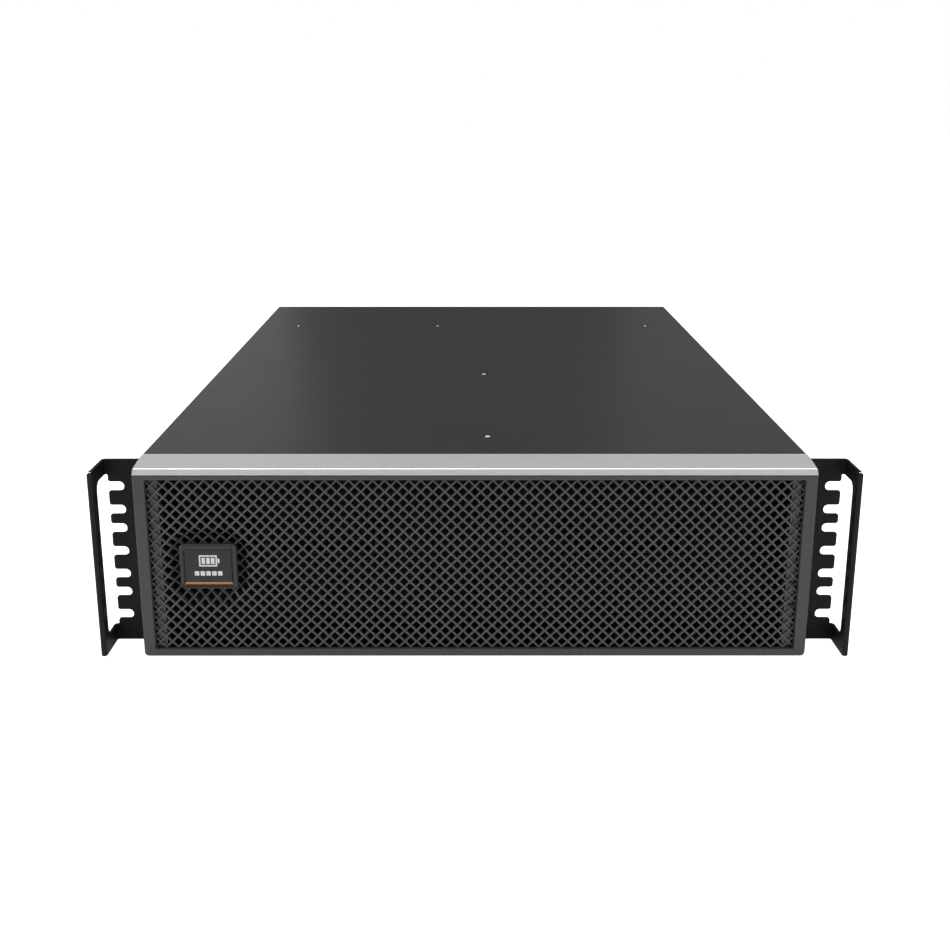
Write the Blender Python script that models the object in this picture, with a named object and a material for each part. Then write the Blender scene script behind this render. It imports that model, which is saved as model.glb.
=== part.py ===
"""Battery cabinet for a 19-inch rack, 3U high, with a snap-on bezel and two battery trays.

The origin is the middle of the base's underside. +X is right, +Y is the rear, +Z is up.
Every size is in metres.
"""
import math

import bmesh
import bpy
from mathutils import Matrix, Vector

# Case
CASE_WIDTH = 0.430
CASE_HEIGHT = 0.12857
CASE_LENGTH = 0.6275
SHEET = 0.0012
BEND = 0.0015
GAP = 0.0003
HALF = CASE_WIDTH / 2
FRONT = -CASE_LENGTH / 2
REAR = CASE_LENGTH / 2
PAN_HALF = HALF - SHEET - GAP
PAN_WALL_TOP = 0.030
FLOOR_TOP = SHEET + GAP
FLANGE_TOP = CASE_HEIGHT - SHEET - GAP
FLANGE = 0.015
FRAME_TOP = CASE_HEIGHT - SHEET - 2 * GAP

# Rack ears, with the hole spacing of a 19-inch rack
EAR_SHEET = 0.002
EAR_INSIDE = HALF + GAP
EAR_HEIGHT = 0.1255
EAR_FLANGE = 0.030
GRIP_INSIDE = 0.2394
GRIP_FRONT = FRONT - 0.0305
GRIP_DEPTH = 0.0072
HEM_TOP = 0.1226
TOOTH_TIP = 0.238
WINDOW_LOW = 0.0098
WINDOW_HIGH = 0.1156
SLOT_END = 0.2277
SLOT_RADIUS = 0.0031
SLOT_MIDDLE = 0.0628
HOLE_PITCH = 0.015875
UNIT = 0.04445

# Fasteners
SCREW_SHANK = 0.0014
SCREW_HOLE = 0.0018
EAR_SCREW_Y = FRONT + 0.018
EAR_SCREW_HEIGHTS = (0.020, 0.0628, 0.108)
PANEL_SCREW_Y = REAR - 0.009
PANEL_SCREW_HEIGHTS = (0.045, 0.110)
COVER_HEAD = 0.0025
COVER_HOLE = 0.0028
BULKHEAD_SCREW_Y = 0.18725
COVER_SCREW_SPOTS = (
    (-0.177, BULKHEAD_SCREW_Y), (-0.035, BULKHEAD_SCREW_Y), (0.177, BULKHEAD_SCREW_Y),
    (0.009, FRONT + 0.047), (0.009, FRONT + 0.257),
)

# Bezel
BEZEL_DEPTH = 0.030
BEZEL_FRONT = FRONT - BEZEL_DEPTH
BEZEL_BACK = FRONT - 0.0004
BEZEL_WALL = 0.0025
SIDE_BAR = 0.0075
BOTTOM_BAR = 0.0046
OPENING_TOP = 0.1197
FRAME_HEIGHT = 0.1223
TRIM_LOW = FRAME_HEIGHT + GAP
TRIM_EDGE = 0.1267
TRIM_ROUND = 0.0007
TOP_CORNER = 0.003
BOTTOM_CORNER = 0.00275
LEDGE_INSIDE = 0.199
GRILLE_RECESS = 0.003
GRILLE_THICK = 0.002
GRILLE_FRONT = BEZEL_FRONT + GRILLE_RECESS
GRILLE_BACK = GRILLE_FRONT + GRILLE_THICK
GRILLE_PITCH = 0.02259
GRILLE_BAR = 0.004
HOOK_HEIGHTS = (0.030, 0.099)
HOOK_HALF = 0.004
HOOK_TIP = 0.2100
HOOK_NECK = 0.2110
HOOK_INSIDE = 0.2108
HOOK_OUTSIDE = 0.2122
HOOK_SLOT = (0.2097, 0.2125)

# Badge, on a round stud in the middle of its pocket
BADGE_X = -0.1704
BADGE_Z = 0.0614
BADGE_WIDTH = 0.0369
BADGE_HEIGHT = 0.0302
BADGE_CORNER = 0.003
BADGE_FRONT = BEZEL_FRONT + 0.001
BADGE_BACK = BEZEL_FRONT + 0.005
POCKET_RADIUS = 0.026
POCKET_BRIM = 0.028
POCKET_FLOOR_RADIUS = 0.0165
POCKET_DEPTH = 0.008
POCKET_WALL = 0.0015
STUD_RADIUS = 0.003
STUD_HOLE = 0.0036
STUD_CLIP = 0.0044

# Battery trays
TRAY_NEAR = 0.0030
TRAY_FAR = 0.2017
TRAY_SHEET = 0.001
TRAY_LOW = 0.0045
TRAY_SIDE_TOP = 0.048
TRAY_END_TOP = 0.108
TRAY_REAR = 0.165
TRAY_LIP = 0.012
FACE_NEAR = 0.0010
FACE_FAR = 0.2085
FACE_LOW = 0.0035
FACE_HIGH = 0.1215
FACE_BACK = FRONT - GAP
FACE_FRONT = FACE_BACK - 0.0015
MULLION = 0.0025
THUMB_X = 0.2048
THUMB_HEIGHTS = (0.020, 0.106)
THUMB_RADIUS = 0.0034

# Batteries: sealed 12 V blocks, three abreast, with their terminals up
BATTERY_WIDTH = 0.065
BATTERY_LENGTH = 0.151
BATTERY_HEIGHT = 0.094
BATTERY_CHAMFER = 0.0015
BATTERY_GAP = (TRAY_FAR - TRAY_NEAR - 2 * TRAY_SHEET - 3 * BATTERY_WIDTH) / 4
TERMINAL_OFFSET = 0.019
TERMINAL_INSET = 0.009
TERMINAL_HEIGHT = 0.006
TERMINAL_HALF = 0.0005
TERMINAL_LONG = 0.0063
BATTERY_SPOTS = [(column, row) for row in range(3) for column in range(3)][:8]

# Tray handles
HANDLE_X = 0.100
HANDLE_HALF = 0.036
HANDLE_ARM = 0.0165
HANDLE_ROD = 0.0024
HANDLE_Y = FACE_FRONT - 0.0036
HANDLE_Z = 0.080
LUG_THICK = 0.003
LUG_HALF = 0.0045

# Tray connectors
PLUG_X = 0.150
PLUG_Z = 0.055
PLUG_HALF = 0.018
PLUG_HALF_HEIGHT = 0.010
SOCKET_WALL = 0.004
SOCKET_FRONT = TRAY_REAR + 0.0075
BULKHEAD_FRONT = 0.1946
BULKHEAD_BACK = BULKHEAD_FRONT + SHEET
CABLE_HOLE = 0.008

# Rear compartment
BREAKER_X = -0.120
BREAKER_Z = 0.063
BREAKER_HALF = 0.036
BREAKER_TALL = 0.0425
BREAKER_FRONT = REAR - 0.068
NOSE_TALL = 0.0225
NOSE_OUT = REAR + 0.004
TOGGLE_HALF = 0.013
TOGGLE_HUB = 0.0045
TOGGLE_Y = REAR - 0.0005
TOGGLE_REACH = 0.014
TOGGLE_START = math.radians(28)
POLE_SPREAD = 0.018
INLET_Z = 0.085
OUTLET_Z = 0.036
CONNECTOR_X = 0.060
CONNECTOR_HEIGHTS = (0.090, 0.042)
CONNECTOR_HALF = 0.025
CONNECTOR_TALL = 0.012
CONNECTOR_FRONT = REAR - 0.032
CONNECTOR_OUT = REAR + 0.010
CONTACT_OFFSET = 0.012
BOARD_X = (0.122, 0.192)
BOARD_Y = (REAR - 0.075, REAR - 0.004)
BOARD_Z = 0.018
BOARD_THICK = 0.0016
PORT_X = (0.148, 0.166)
PORT_BLOCK = (0.139, 0.175)
PORT_TALL = 0.0135
GROUND_X = -0.190
GROUND_Z = 0.030
GROUND_HOLE = 0.0034
VENT_START = 0.120
VENT_STEP = 0.008
VENT_WIDTH = 0.003
VENT_HEIGHTS = (0.070, 0.100)
CORE_RADIUS = 0.0032
CORE_OFFSET = 0.0030
CABLE_BEND = 0.012
LEFT_CABLE_BENDS = (0.212, 0.230)
RIGHT_CABLE_BENDS = (0.215, 0.232)
RIGHT_CABLE_TOP = 0.106
LOOM_Y = 0.222
LOOM_LOW = 0.014


def material(name, colour, roughness, metallic=0.0):
    """Make a Principled material from a linear colour."""
    made = bpy.data.materials.new(name)
    made.use_nodes = True
    shader = made.node_tree.nodes["Principled BSDF"]
    shader.inputs["Base Color"].default_value = (*colour, 1.0)
    shader.inputs["Roughness"].default_value = roughness
    shader.inputs["Metallic"].default_value = metallic
    made.diffuse_color = (*colour, 1.0)
    return made


def arc(centre, radius, start, end, steps):
    """Points on an arc, from start to end in degrees."""
    turns = [math.radians(start + (end - start) * i / steps) for i in range(steps + 1)]
    return [(centre[0] + radius * math.cos(t), centre[1] + radius * math.sin(t)) for t in turns]


def circle(centre, radius, steps):
    """A closed circle of points."""
    return arc(centre, radius, 0, 360, steps)[:-1]


def rounded_box(low, high, radius, steps):
    """A rectangle's outline with rounded corners."""
    (x0, y0), (x1, y1) = low, high
    corners = (
        ((x1 - radius, y1 - radius), 0), ((x0 + radius, y1 - radius), 90),
        ((x0 + radius, y0 + radius), 180), ((x1 - radius, y0 + radius), 270),
    )
    return [p for centre, turn in corners for p in arc(centre, radius, turn, turn + 90, steps)]


def add_prism(bm, outline, axis, start, end):
    """Sweep a closed outline of the other two coordinates along an axis."""
    place = "XYZ".index(axis)
    rings = []
    for along in (start, end):
        ring = []
        for point in outline:
            spot = list(point)
            spot.insert(place, along)
            ring.append(bm.verts.new(spot))
        rings.append(ring)
    near, far = rings
    bm.faces.new(near)
    bm.faces.new(list(reversed(far)))
    for i in range(len(near)):
        bm.faces.new((near[i - 1], far[i - 1], far[i], near[i]))


def add_box(bm, low, high):
    """A closed box between two corners."""
    outline = ((low[0], low[1]), (high[0], low[1]), (high[0], high[1]), (low[0], high[1]))
    add_prism(bm, outline, "Z", low[2], high[2])


def add_cylinder(bm, axis, centre, radius, start, end, steps=12):
    """A closed cylinder along an axis."""
    add_prism(bm, circle(centre, radius, steps), axis, start, end)


def add_rings(bm, rings):
    """Close a body from rings of points of equal count."""
    made = [[bm.verts.new(point) for point in ring] for ring in rings]
    bm.faces.new(made[0])
    bm.faces.new(list(reversed(made[-1])))
    for low, high in zip(made, made[1:]):
        for k in range(len(low)):
            bm.faces.new((low[k - 1], high[k - 1], high[k], low[k]))


def add_stack(bm, centre, levels):
    """A closed body of stacked rectangles, each given as (z, half width, half length)."""
    signs = ((-1, -1), (1, -1), (1, 1), (-1, 1))
    add_rings(bm, [
        [(centre[0] + sx * half_x, centre[1] + sy * half_y, z) for sx, sy in signs]
        for z, half_x, half_y in levels
    ])


def rounded_path(corners, radius, steps=2):
    """Turn a path's sharp corners into smooth bends."""
    points = [Vector(c) for c in corners]
    path = [points[0]]
    for before, corner, after in zip(points, points[1:], points[2:]):
        reach = min(radius, (before - corner).length / 2, (after - corner).length / 2)
        first = corner + (before - corner).normalized() * reach
        last = corner + (after - corner).normalized() * reach
        for i in range(steps + 1):
            t = i / steps
            path.append(first * (1 - t) ** 2 + corner * 2 * t * (1 - t) + last * t ** 2)
    path.append(points[-1])
    return path


def add_sweep(bm, path, outline, across):
    """A closed bar that follows a path. The outline's first coordinate starts along across."""
    rings = []
    normal = Vector(across)
    for i, point in enumerate(path):
        ahead = path[min(i + 1, len(path) - 1)]
        behind = path[max(i - 1, 0)]
        along = (ahead - behind).normalized()
        normal = (normal - along * normal.dot(along)).normalized()
        side = along.cross(normal)
        rings.append([point + normal * u + side * v for u, v in outline])
    add_rings(bm, rings)


def add_lathe(bm, centre, profile, steps):
    """Turn a closed profile of (radius, y) points about an axis along Y."""
    rings = []
    for i in range(steps):
        turn = 2 * math.pi * i / steps
        rings.append([
            bm.verts.new((centre[0] + r * math.cos(turn), y, centre[1] + r * math.sin(turn)))
            for r, y in profile
        ])
    for i in range(steps):
        for k in range(len(profile)):
            bm.faces.new((rings[i - 1][k - 1], rings[i][k - 1], rings[i][k], rings[i - 1][k]))


def world_place(thing):
    """Where an object or empty is in the world, from its chain of parents."""
    place = Vector()
    while thing is not None:
        place += thing.location
        thing = thing.parent
    return place


def pivot(name, place, parent=None):
    """An empty on a joint's axis, which carries what moves with it."""
    empty = bpy.data.objects.new(name, None)
    bpy.context.collection.objects.link(empty)
    empty.parent = parent
    empty.location = Vector(place) - world_place(parent)
    return empty


def make_node(name, bm, finish, parent=None):
    """Turn a bmesh in world coordinates into a named object under its pivot."""
    bmesh.ops.recalc_face_normals(bm, faces=bm.faces)
    mesh = bpy.data.meshes.new(name)
    bm.to_mesh(mesh)
    bm.free()
    mesh.transform(Matrix.Translation(-world_place(parent)))
    mesh.materials.append(finish)
    node = bpy.data.objects.new(name, mesh)
    bpy.context.collection.objects.link(node)
    node.parent = parent
    return node


def combine(node, bm, operation):
    """Cut a second shape out of a node, or join it on, with an exact Boolean."""
    tool = make_node(f"{node.name}_{operation.lower()}_{len(node.modifiers)}", bm, node.active_material)
    tool.hide_render = True
    tool.display_type = "WIRE"
    boolean = node.modifiers.new(operation.title(), "BOOLEAN")
    boolean.operation = operation
    boolean.object = tool


def smooth(node, angle=35):
    """Shade a node's round faces smooth."""
    node.data.shade_smooth()
    node.data.set_sharp_from_angle(angle=math.radians(angle))


def span(side, near, far):
    """The low and high X of a stretch that is mirrored to one side."""
    return min(side * near, side * far), max(side * near, side * far)


def side_holes(bm, y, heights):
    """Cutters for screws that pass through both side walls."""
    for z in heights:
        add_cylinder(bm, "X", (y, z), SCREW_HOLE, -HALF - 0.005, HALF + 0.005, 8)


def base_pan():
    """Shallow steel pan: the floor with a low wall along each side."""
    r = BEND
    t = SHEET
    w = PAN_HALF
    outline = [(-w, PAN_WALL_TOP)] + arc((-w + r, r), r, 180, 270, 3) + arc((w - r, r), r, 270, 360, 3)
    outline += [(w, PAN_WALL_TOP), (w - t, PAN_WALL_TOP)]
    outline += arc((w - r, r), r - t, 360, 270, 1) + arc((-w + r, r), r - t, 270, 180, 1)
    outline += [(-w + t, PAN_WALL_TOP)]
    bm = bmesh.new()
    add_prism(bm, outline, "Y", FRONT, REAR)
    node = make_node("base_pan", bm, STEEL_PAINT)
    cuts = bmesh.new()
    for start, end in ((FRONT - 0.001, FRONT + 0.003), (REAR - 0.003, REAR + 0.001)):
        add_box(cuts, (-HALF, start, FLOOR_TOP), (HALF, end, PAN_WALL_TOP + 0.001))
    side_holes(cuts, EAR_SCREW_Y, EAR_SCREW_HEIGHTS[:1])
    combine(node, cuts, "DIFFERENCE")


def top_cover():
    """Lid that folds down over both sides of the pan."""
    r = BEND
    t = SHEET
    top = CASE_HEIGHT
    low = SHEET - GAP
    w = HALF
    outline = [(w, low)] + arc((w - r, top - r), r, 0, 90, 3) + arc((-w + r, top - r), r, 90, 180, 3)
    outline += [(-w, low), (-w + t, low)]
    outline += arc((-w + r, top - r), r - t, 180, 90, 1) + arc((w - r, top - r), r - t, 90, 0, 1)
    outline += [(w - t, low)]
    bm = bmesh.new()
    add_prism(bm, outline, "Y", FRONT, REAR)
    node = make_node("top_cover", bm, COVER_PAINT)
    cuts = bmesh.new()
    for x, y in COVER_SCREW_SPOTS:
        add_cylinder(cuts, "Z", (x, y), COVER_HOLE, top - 0.002, top + 0.001, 12)
    side_holes(cuts, EAR_SCREW_Y, EAR_SCREW_HEIGHTS)
    side_holes(cuts, PANEL_SCREW_Y, PANEL_SCREW_HEIGHTS)
    combine(node, cuts, "DIFFERENCE")


def cover_screws():
    """Flush screws that hold the lid to the partition and the bulkhead."""
    profile = (
        (FLANGE_TOP - 0.006, SCREW_SHANK), (FLANGE_TOP + GAP, SCREW_SHANK),
        (FLANGE_TOP + GAP, COVER_HEAD), (CASE_HEIGHT, COVER_HEAD),
    )
    for index, spot in enumerate(COVER_SCREW_SPOTS):
        bm = bmesh.new()
        add_rings(bm, [[(*point, z) for point in circle(spot, radius, 12)] for z, radius in profile])
        smooth(make_node(f"cover_screw_{index + 1}", bm, ZINC))


def flange_holes(bm, spots):
    """Cutters for the lid screws where they pass through a top flange."""
    for x, y in spots:
        add_cylinder(bm, "Z", (x, y), SCREW_HOLE, FLANGE_TOP - 0.004, FLANGE_TOP + 0.001, 8)


def front_frame():
    """Front plate with one opening for each tray and slots for the bezel's hooks."""
    bm = bmesh.new()
    start = FRONT + GAP
    end = start + SHEET
    add_box(bm, (-PAN_HALF, start, FLOOR_TOP), (PAN_HALF, end, FRAME_TOP))
    node = make_node("front_frame", bm, STEEL_PAINT)
    cuts = bmesh.new()
    for side in (-1, 1):
        x0, x1 = span(side, MULLION, TRAY_FAR + 0.0005)
        add_box(cuts, (x0, start - 0.001, TRAY_LOW - GAP), (x1, end + 0.001, FACE_HIGH - 0.001))
        for z in THUMB_HEIGHTS:
            add_cylinder(cuts, "Y", (side * THUMB_X, z), SCREW_HOLE, start - 0.001, end + 0.001, 8)
        for z in HOOK_HEIGHTS:
            x0, x1 = span(side, *HOOK_SLOT)
            reach = HOOK_HALF + 0.001
            add_box(cuts, (x0, start - 0.001, z - reach), (x1, end + 0.001, z + reach))
    combine(node, cuts, "DIFFERENCE")


def centre_partition():
    """Channel that parts the two trays and carries two of the lid's screws."""
    web = SHEET / 2
    low = FLOOR_TOP
    top = FLANGE_TOP
    far = FLANGE + 0.003
    outline = (
        (-web, low), (far, low), (far, low + SHEET), (web, low + SHEET),
        (web, top - SHEET), (far, top - SHEET), (far, top), (-web, top),
    )
    bm = bmesh.new()
    add_prism(bm, outline, "Y", FRONT + 0.003, BULKHEAD_SCREW_Y - 0.008)
    node = make_node("centre_partition", bm, BARE_STEEL)
    cuts = bmesh.new()
    flange_holes(cuts, COVER_SCREW_SPOTS[3:])
    combine(node, cuts, "DIFFERENCE")


def rear_bulkhead():
    """Channel across the case behind the trays, with holes for the cables."""
    half = PAN_HALF - SHEET - GAP
    start = BULKHEAD_BACK - FLANGE
    low = FLOOR_TOP
    top = FLANGE_TOP
    outline = (
        (start, low), (BULKHEAD_BACK, low), (BULKHEAD_BACK, top), (start, top),
        (start, top - SHEET), (BULKHEAD_FRONT, top - SHEET),
        (BULKHEAD_FRONT, low + SHEET), (start, low + SHEET),
    )
    bm = bmesh.new()
    add_prism(bm, outline, "X", -half, half)
    node = make_node("rear_bulkhead", bm, BARE_STEEL)
    cuts = bmesh.new()
    flange_holes(cuts, COVER_SCREW_SPOTS[:3])
    for side in (-1, 1):
        centre = (side * PLUG_X, PLUG_Z)
        add_cylinder(cuts, "Y", centre, CABLE_HOLE, BULKHEAD_FRONT - 0.001, BULKHEAD_BACK + 0.001)
    combine(node, cuts, "DIFFERENCE")


def rear_panel():
    """Rear plate with turned side flanges and openings for what faces rearwards."""
    back = REAR - GAP
    face = back - SHEET
    start = REAR - 0.018
    w = PAN_HALF
    t = SHEET
    outline = ((-w, start), (-w + t, start), (-w + t, face), (w - t, face), (w - t, start), (w, start),
               (w, back), (-w, back))
    bm = bmesh.new()
    add_prism(bm, outline, "Z", FLOOR_TOP, FRAME_TOP)
    node = make_node("rear_panel", bm, STEEL_PAINT)
    cuts = bmesh.new()
    add_box(cuts, (-HALF, start - 0.001, 0), (-w + 2 * t, face - GAP, PAN_WALL_TOP + 0.0015))
    add_box(cuts, (w - 2 * t, start - 0.001, 0), (HALF, face - GAP, PAN_WALL_TOP + 0.0015))
    side_holes(cuts, PANEL_SCREW_Y, PANEL_SCREW_HEIGHTS)
    combine(node, cuts, "DIFFERENCE")

    windows = bmesh.new()
    openings = [((BREAKER_X, BREAKER_Z), BREAKER_HALF, NOSE_TALL)]
    openings += [((CONNECTOR_X, z), CONNECTOR_HALF, CONNECTOR_TALL) for z in CONNECTOR_HEIGHTS]
    port_z = BOARD_Z + BOARD_THICK + GAP + PORT_TALL / 2
    port_half = (PORT_BLOCK[1] - PORT_BLOCK[0]) / 2
    openings += [((PORT_BLOCK[0] + port_half, port_z), port_half, PORT_TALL / 2)]
    for (x, z), half, tall in openings:
        low = (x - half - GAP, face - 0.001, z - tall - GAP)
        add_box(windows, low, (x + half + GAP, back + 0.001, z + tall + GAP))
    add_cylinder(windows, "Y", (GROUND_X, GROUND_Z), GROUND_HOLE, face - 0.001, back + 0.001)
    for i in range(9):
        x = VENT_START + i * VENT_STEP
        add_box(windows, (x, face - 0.001, VENT_HEIGHTS[0]), (x + VENT_WIDTH, back + 0.001, VENT_HEIGHTS[1]))
    combine(node, windows, "DIFFERENCE")


def rack_ear(side, name):
    """Ear of folded sheet: side flange, slotted face and a hemmed grip in front."""
    a = EAR_INSIDE
    t = EAR_SHEET
    b = GRIP_INSIDE
    inner, outer = 0.001, 0.003
    face = FRONT - t
    hem = GRIP_FRONT + 0.0065
    outline = [(a, FRONT + EAR_FLANGE)] + arc((a + outer, face + outer), outer, 180, 270, 3)
    outline += arc((b - inner, face - inner), inner, 90, 0, 2)
    outline += arc((b + t, GRIP_FRONT + t), t, 180, 360, 6)
    outline += [(b + 2 * t, hem), (b + t, hem)]
    outline += arc((b + t - outer, FRONT - outer), outer, 0, 90, 3)
    outline += arc((a + t + inner, FRONT + inner), inner, 270, 180, 2)
    outline += [(a + t, FRONT + EAR_FLANGE)]
    bm = bmesh.new()
    add_prism(bm, [(side * x, y) for x, y in outline], "Z", 0, EAR_HEIGHT)
    node = make_node(name, bm, EAR_PAINT)

    slots = bmesh.new()
    offsets = (0, HOLE_PITCH, UNIT - HOLE_PITCH, UNIT)
    for offset in sorted({sign * value for value in offsets for sign in (-1, 1)}):
        z = SLOT_MIDDLE + offset
        end = arc((SLOT_END + SLOT_RADIUS, z), SLOT_RADIUS, 90, 270, 6)
        outline = end + [(TOOTH_TIP + 0.0005, z - SLOT_RADIUS), (TOOTH_TIP + 0.0005, z + SLOT_RADIUS)]
        add_prism(slots, [(side * x, h) for x, h in outline], "Y", FRONT - 0.003, FRONT + 0.001)
    for z in EAR_SCREW_HEIGHTS:
        x0, x1 = span(side, a - 0.001, a + t + 0.001)
        add_cylinder(slots, "X", (EAR_SCREW_Y, z), SCREW_HOLE, x0, x1, 8)
    combine(node, slots, "DIFFERENCE")

    window = bmesh.new()
    x0, x1 = span(side, TOOTH_TIP, b + 0.010)
    add_box(window, (x0, GRIP_FRONT + GRIP_DEPTH, WINDOW_LOW), (x1, FRONT + 0.001, WINDOW_HIGH))
    x0, x1 = span(side, b + t, b + 0.010)
    add_box(window, (x0, GRIP_FRONT - 0.001, HEM_TOP), (x1, FRONT - 0.012, EAR_HEIGHT + 0.001))
    combine(node, window, "DIFFERENCE")


def corner_cutter(bm, x, z, radius, toward_x, toward_z, start, end):
    """What lies outside a rounded corner: toward_x and toward_z point into the body."""
    centre = (x + toward_x * radius, z + toward_z * radius)
    base = math.degrees(math.atan2(-toward_z, -toward_x)) - 45
    spare = 0.001
    outline = arc(centre, radius, base, base + 90, 4)
    corner = (x - toward_x * spare, z - toward_z * spare)
    last, first = outline[-1], outline[0]
    if abs(last[0] - x) < 1e-6:
        outline += [(corner[0], last[1]), corner, (first[0], corner[1])]
    else:
        outline += [(last[0], corner[1]), corner, (corner[0], first[1])]
    add_prism(bm, outline, "Y", start, end)


def bezel_frame(carrier):
    """Moulded picture frame, with a ledge at each side behind the grille and four snap hooks."""
    bm = bmesh.new()
    add_box(bm, (-HALF, BEZEL_FRONT, 0), (HALF, BEZEL_BACK, FRAME_HEIGHT))
    node = make_node("bezel_frame", bm, BEZEL_PLASTIC, carrier)

    inside = HALF - SIDE_BAR
    recess = bmesh.new()
    add_box(recess, (-inside, BEZEL_FRONT - 0.001, BOTTOM_BAR), (inside, GRILLE_BACK + GAP, OPENING_TOP))
    hollow_start = GRILLE_BACK + GAP + 0.0015
    add_box(recess, (-HALF + BEZEL_WALL, hollow_start, BEZEL_WALL),
            (HALF - BEZEL_WALL, BEZEL_BACK + 0.001, FRAME_HEIGHT - 0.0006))
    combine(node, recess, "DIFFERENCE")

    through = bmesh.new()
    add_box(through, (-LEDGE_INSIDE, BEZEL_FRONT, BOTTOM_BAR + GAP),
            (LEDGE_INSIDE, BEZEL_BACK, OPENING_TOP - GAP))
    for side in (-1, 1):
        corner_cutter(through, side * HALF, 0, BOTTOM_CORNER, -side, 1,
                      BEZEL_FRONT - 0.001, BEZEL_BACK + 0.001)
    combine(node, through, "DIFFERENCE")
    hooks = bmesh.new()
    root = HALF - BEZEL_WALL + 0.0006
    for side in (-1, 1):
        for z in HOOK_HEIGHTS:
            outline = (
                (root, BEZEL_BACK - 0.016), (root, BEZEL_BACK - 0.004), (HOOK_OUTSIDE, BEZEL_BACK - 0.003),
                (HOOK_OUTSIDE, FRONT + 0.006), (HOOK_NECK, FRONT + 0.006), (HOOK_TIP, FRONT + 0.0035),
                (HOOK_TIP, FRONT + 0.0022), (HOOK_INSIDE, FRONT + 0.0022), (HOOK_INSIDE, BEZEL_BACK - 0.016),
            )
            add_prism(hooks, [(side * x, y) for x, y in outline], "Z", z - HOOK_HALF, z + HOOK_HALF)
    combine(node, hooks, "UNION")


def bezel_trim(carrier):
    """Silver strip along the top: an upright face, a tight round and a rising slope."""
    crown = 0.0006
    slope_start = (BEZEL_FRONT + TRIM_ROUND, TRIM_EDGE)
    run = BEZEL_BACK - slope_start[0]
    rise = CASE_HEIGHT - TRIM_EDGE
    outline = [(BEZEL_FRONT, TRIM_LOW)]
    outline += arc((BEZEL_FRONT + TRIM_ROUND, TRIM_EDGE - TRIM_ROUND), TRIM_ROUND, 180, 90, 3)
    for i in range(1, 7):
        t = i / 6
        outline.append((slope_start[0] + t * run, TRIM_EDGE + t * rise + crown * 4 * t * (1 - t)))
    outline += [(BEZEL_BACK, CASE_HEIGHT - 0.002), (BEZEL_FRONT + 0.010, CASE_HEIGHT - 0.004)]
    outline += [(BEZEL_FRONT + 0.006, TRIM_LOW)]
    bm = bmesh.new()
    add_prism(bm, outline, "X", -HALF, HALF)
    node = make_node("bezel_trim", bm, SILVER, carrier)
    corners = bmesh.new()
    for side in (-1, 1):
        corner_cutter(corners, side * HALF, CASE_HEIGHT + crown, TOP_CORNER, -side, -1,
                      BEZEL_FRONT - 0.001, BEZEL_BACK + 0.001)
    combine(node, corners, "DIFFERENCE")


def bezel_grille(carrier):
    """Lattice panel whose openings stand on their corners, with the badge's round pocket."""
    half = HALF - SIDE_BAR - GAP
    low = BOTTOM_BAR + GAP
    high = OPENING_TOP - GAP
    bm = bmesh.new()
    add_box(bm, (-half, GRILLE_FRONT, low), (half, GRILLE_BACK, high))
    node = make_node("bezel_grille", bm, GRILLE_PLASTIC, carrier)

    holes = bmesh.new()
    start, end = GRILLE_FRONT - 0.001, GRILLE_BACK + 0.001
    add_cylinder(holes, "Y", (BADGE_X, BADGE_Z), POCKET_RADIUS, start, end, 24)
    reach = (GRILLE_PITCH - GRILLE_BAR * math.sqrt(2)) / 2
    step = GRILLE_PITCH / 2
    columns = int(half / step)
    middle = (low + high) / 2
    rows = int((high - low) / 2 / step)
    for i in range(-columns, columns + 1):
        for k in range(-rows, rows + 1):
            x = i * step
            z = middle + k * step
            clear_sides = abs(x) + reach < LEDGE_INSIDE
            clear_ends = abs(z - middle) + reach + 0.002 < (high - low) / 2
            clear_pocket = math.hypot(x - BADGE_X, z - BADGE_Z) > POCKET_BRIM + reach + 0.001
            if (i + k) % 2 == 0 and clear_sides and clear_ends and clear_pocket:
                outline = ((x - reach, z), (x, z - reach), (x + reach, z), (x, z + reach))
                add_prism(holes, outline, "Y", start, end)
    combine(node, holes, "DIFFERENCE")

    dish = bmesh.new()
    brim = GRILLE_FRONT + 0.0005
    floor = GRILLE_FRONT + POCKET_DEPTH
    profile = (
        (POCKET_RADIUS - 0.0006, brim), (POCKET_FLOOR_RADIUS, floor), (STUD_HOLE, floor),
        (STUD_HOLE, floor + POCKET_WALL), (POCKET_FLOOR_RADIUS + 0.0010, floor + POCKET_WALL),
        (POCKET_BRIM, GRILLE_BACK + 0.0008), (POCKET_BRIM, brim),
    )
    add_lathe(dish, (BADGE_X, BADGE_Z), profile, 24)
    combine(node, dish, "UNION")


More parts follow.
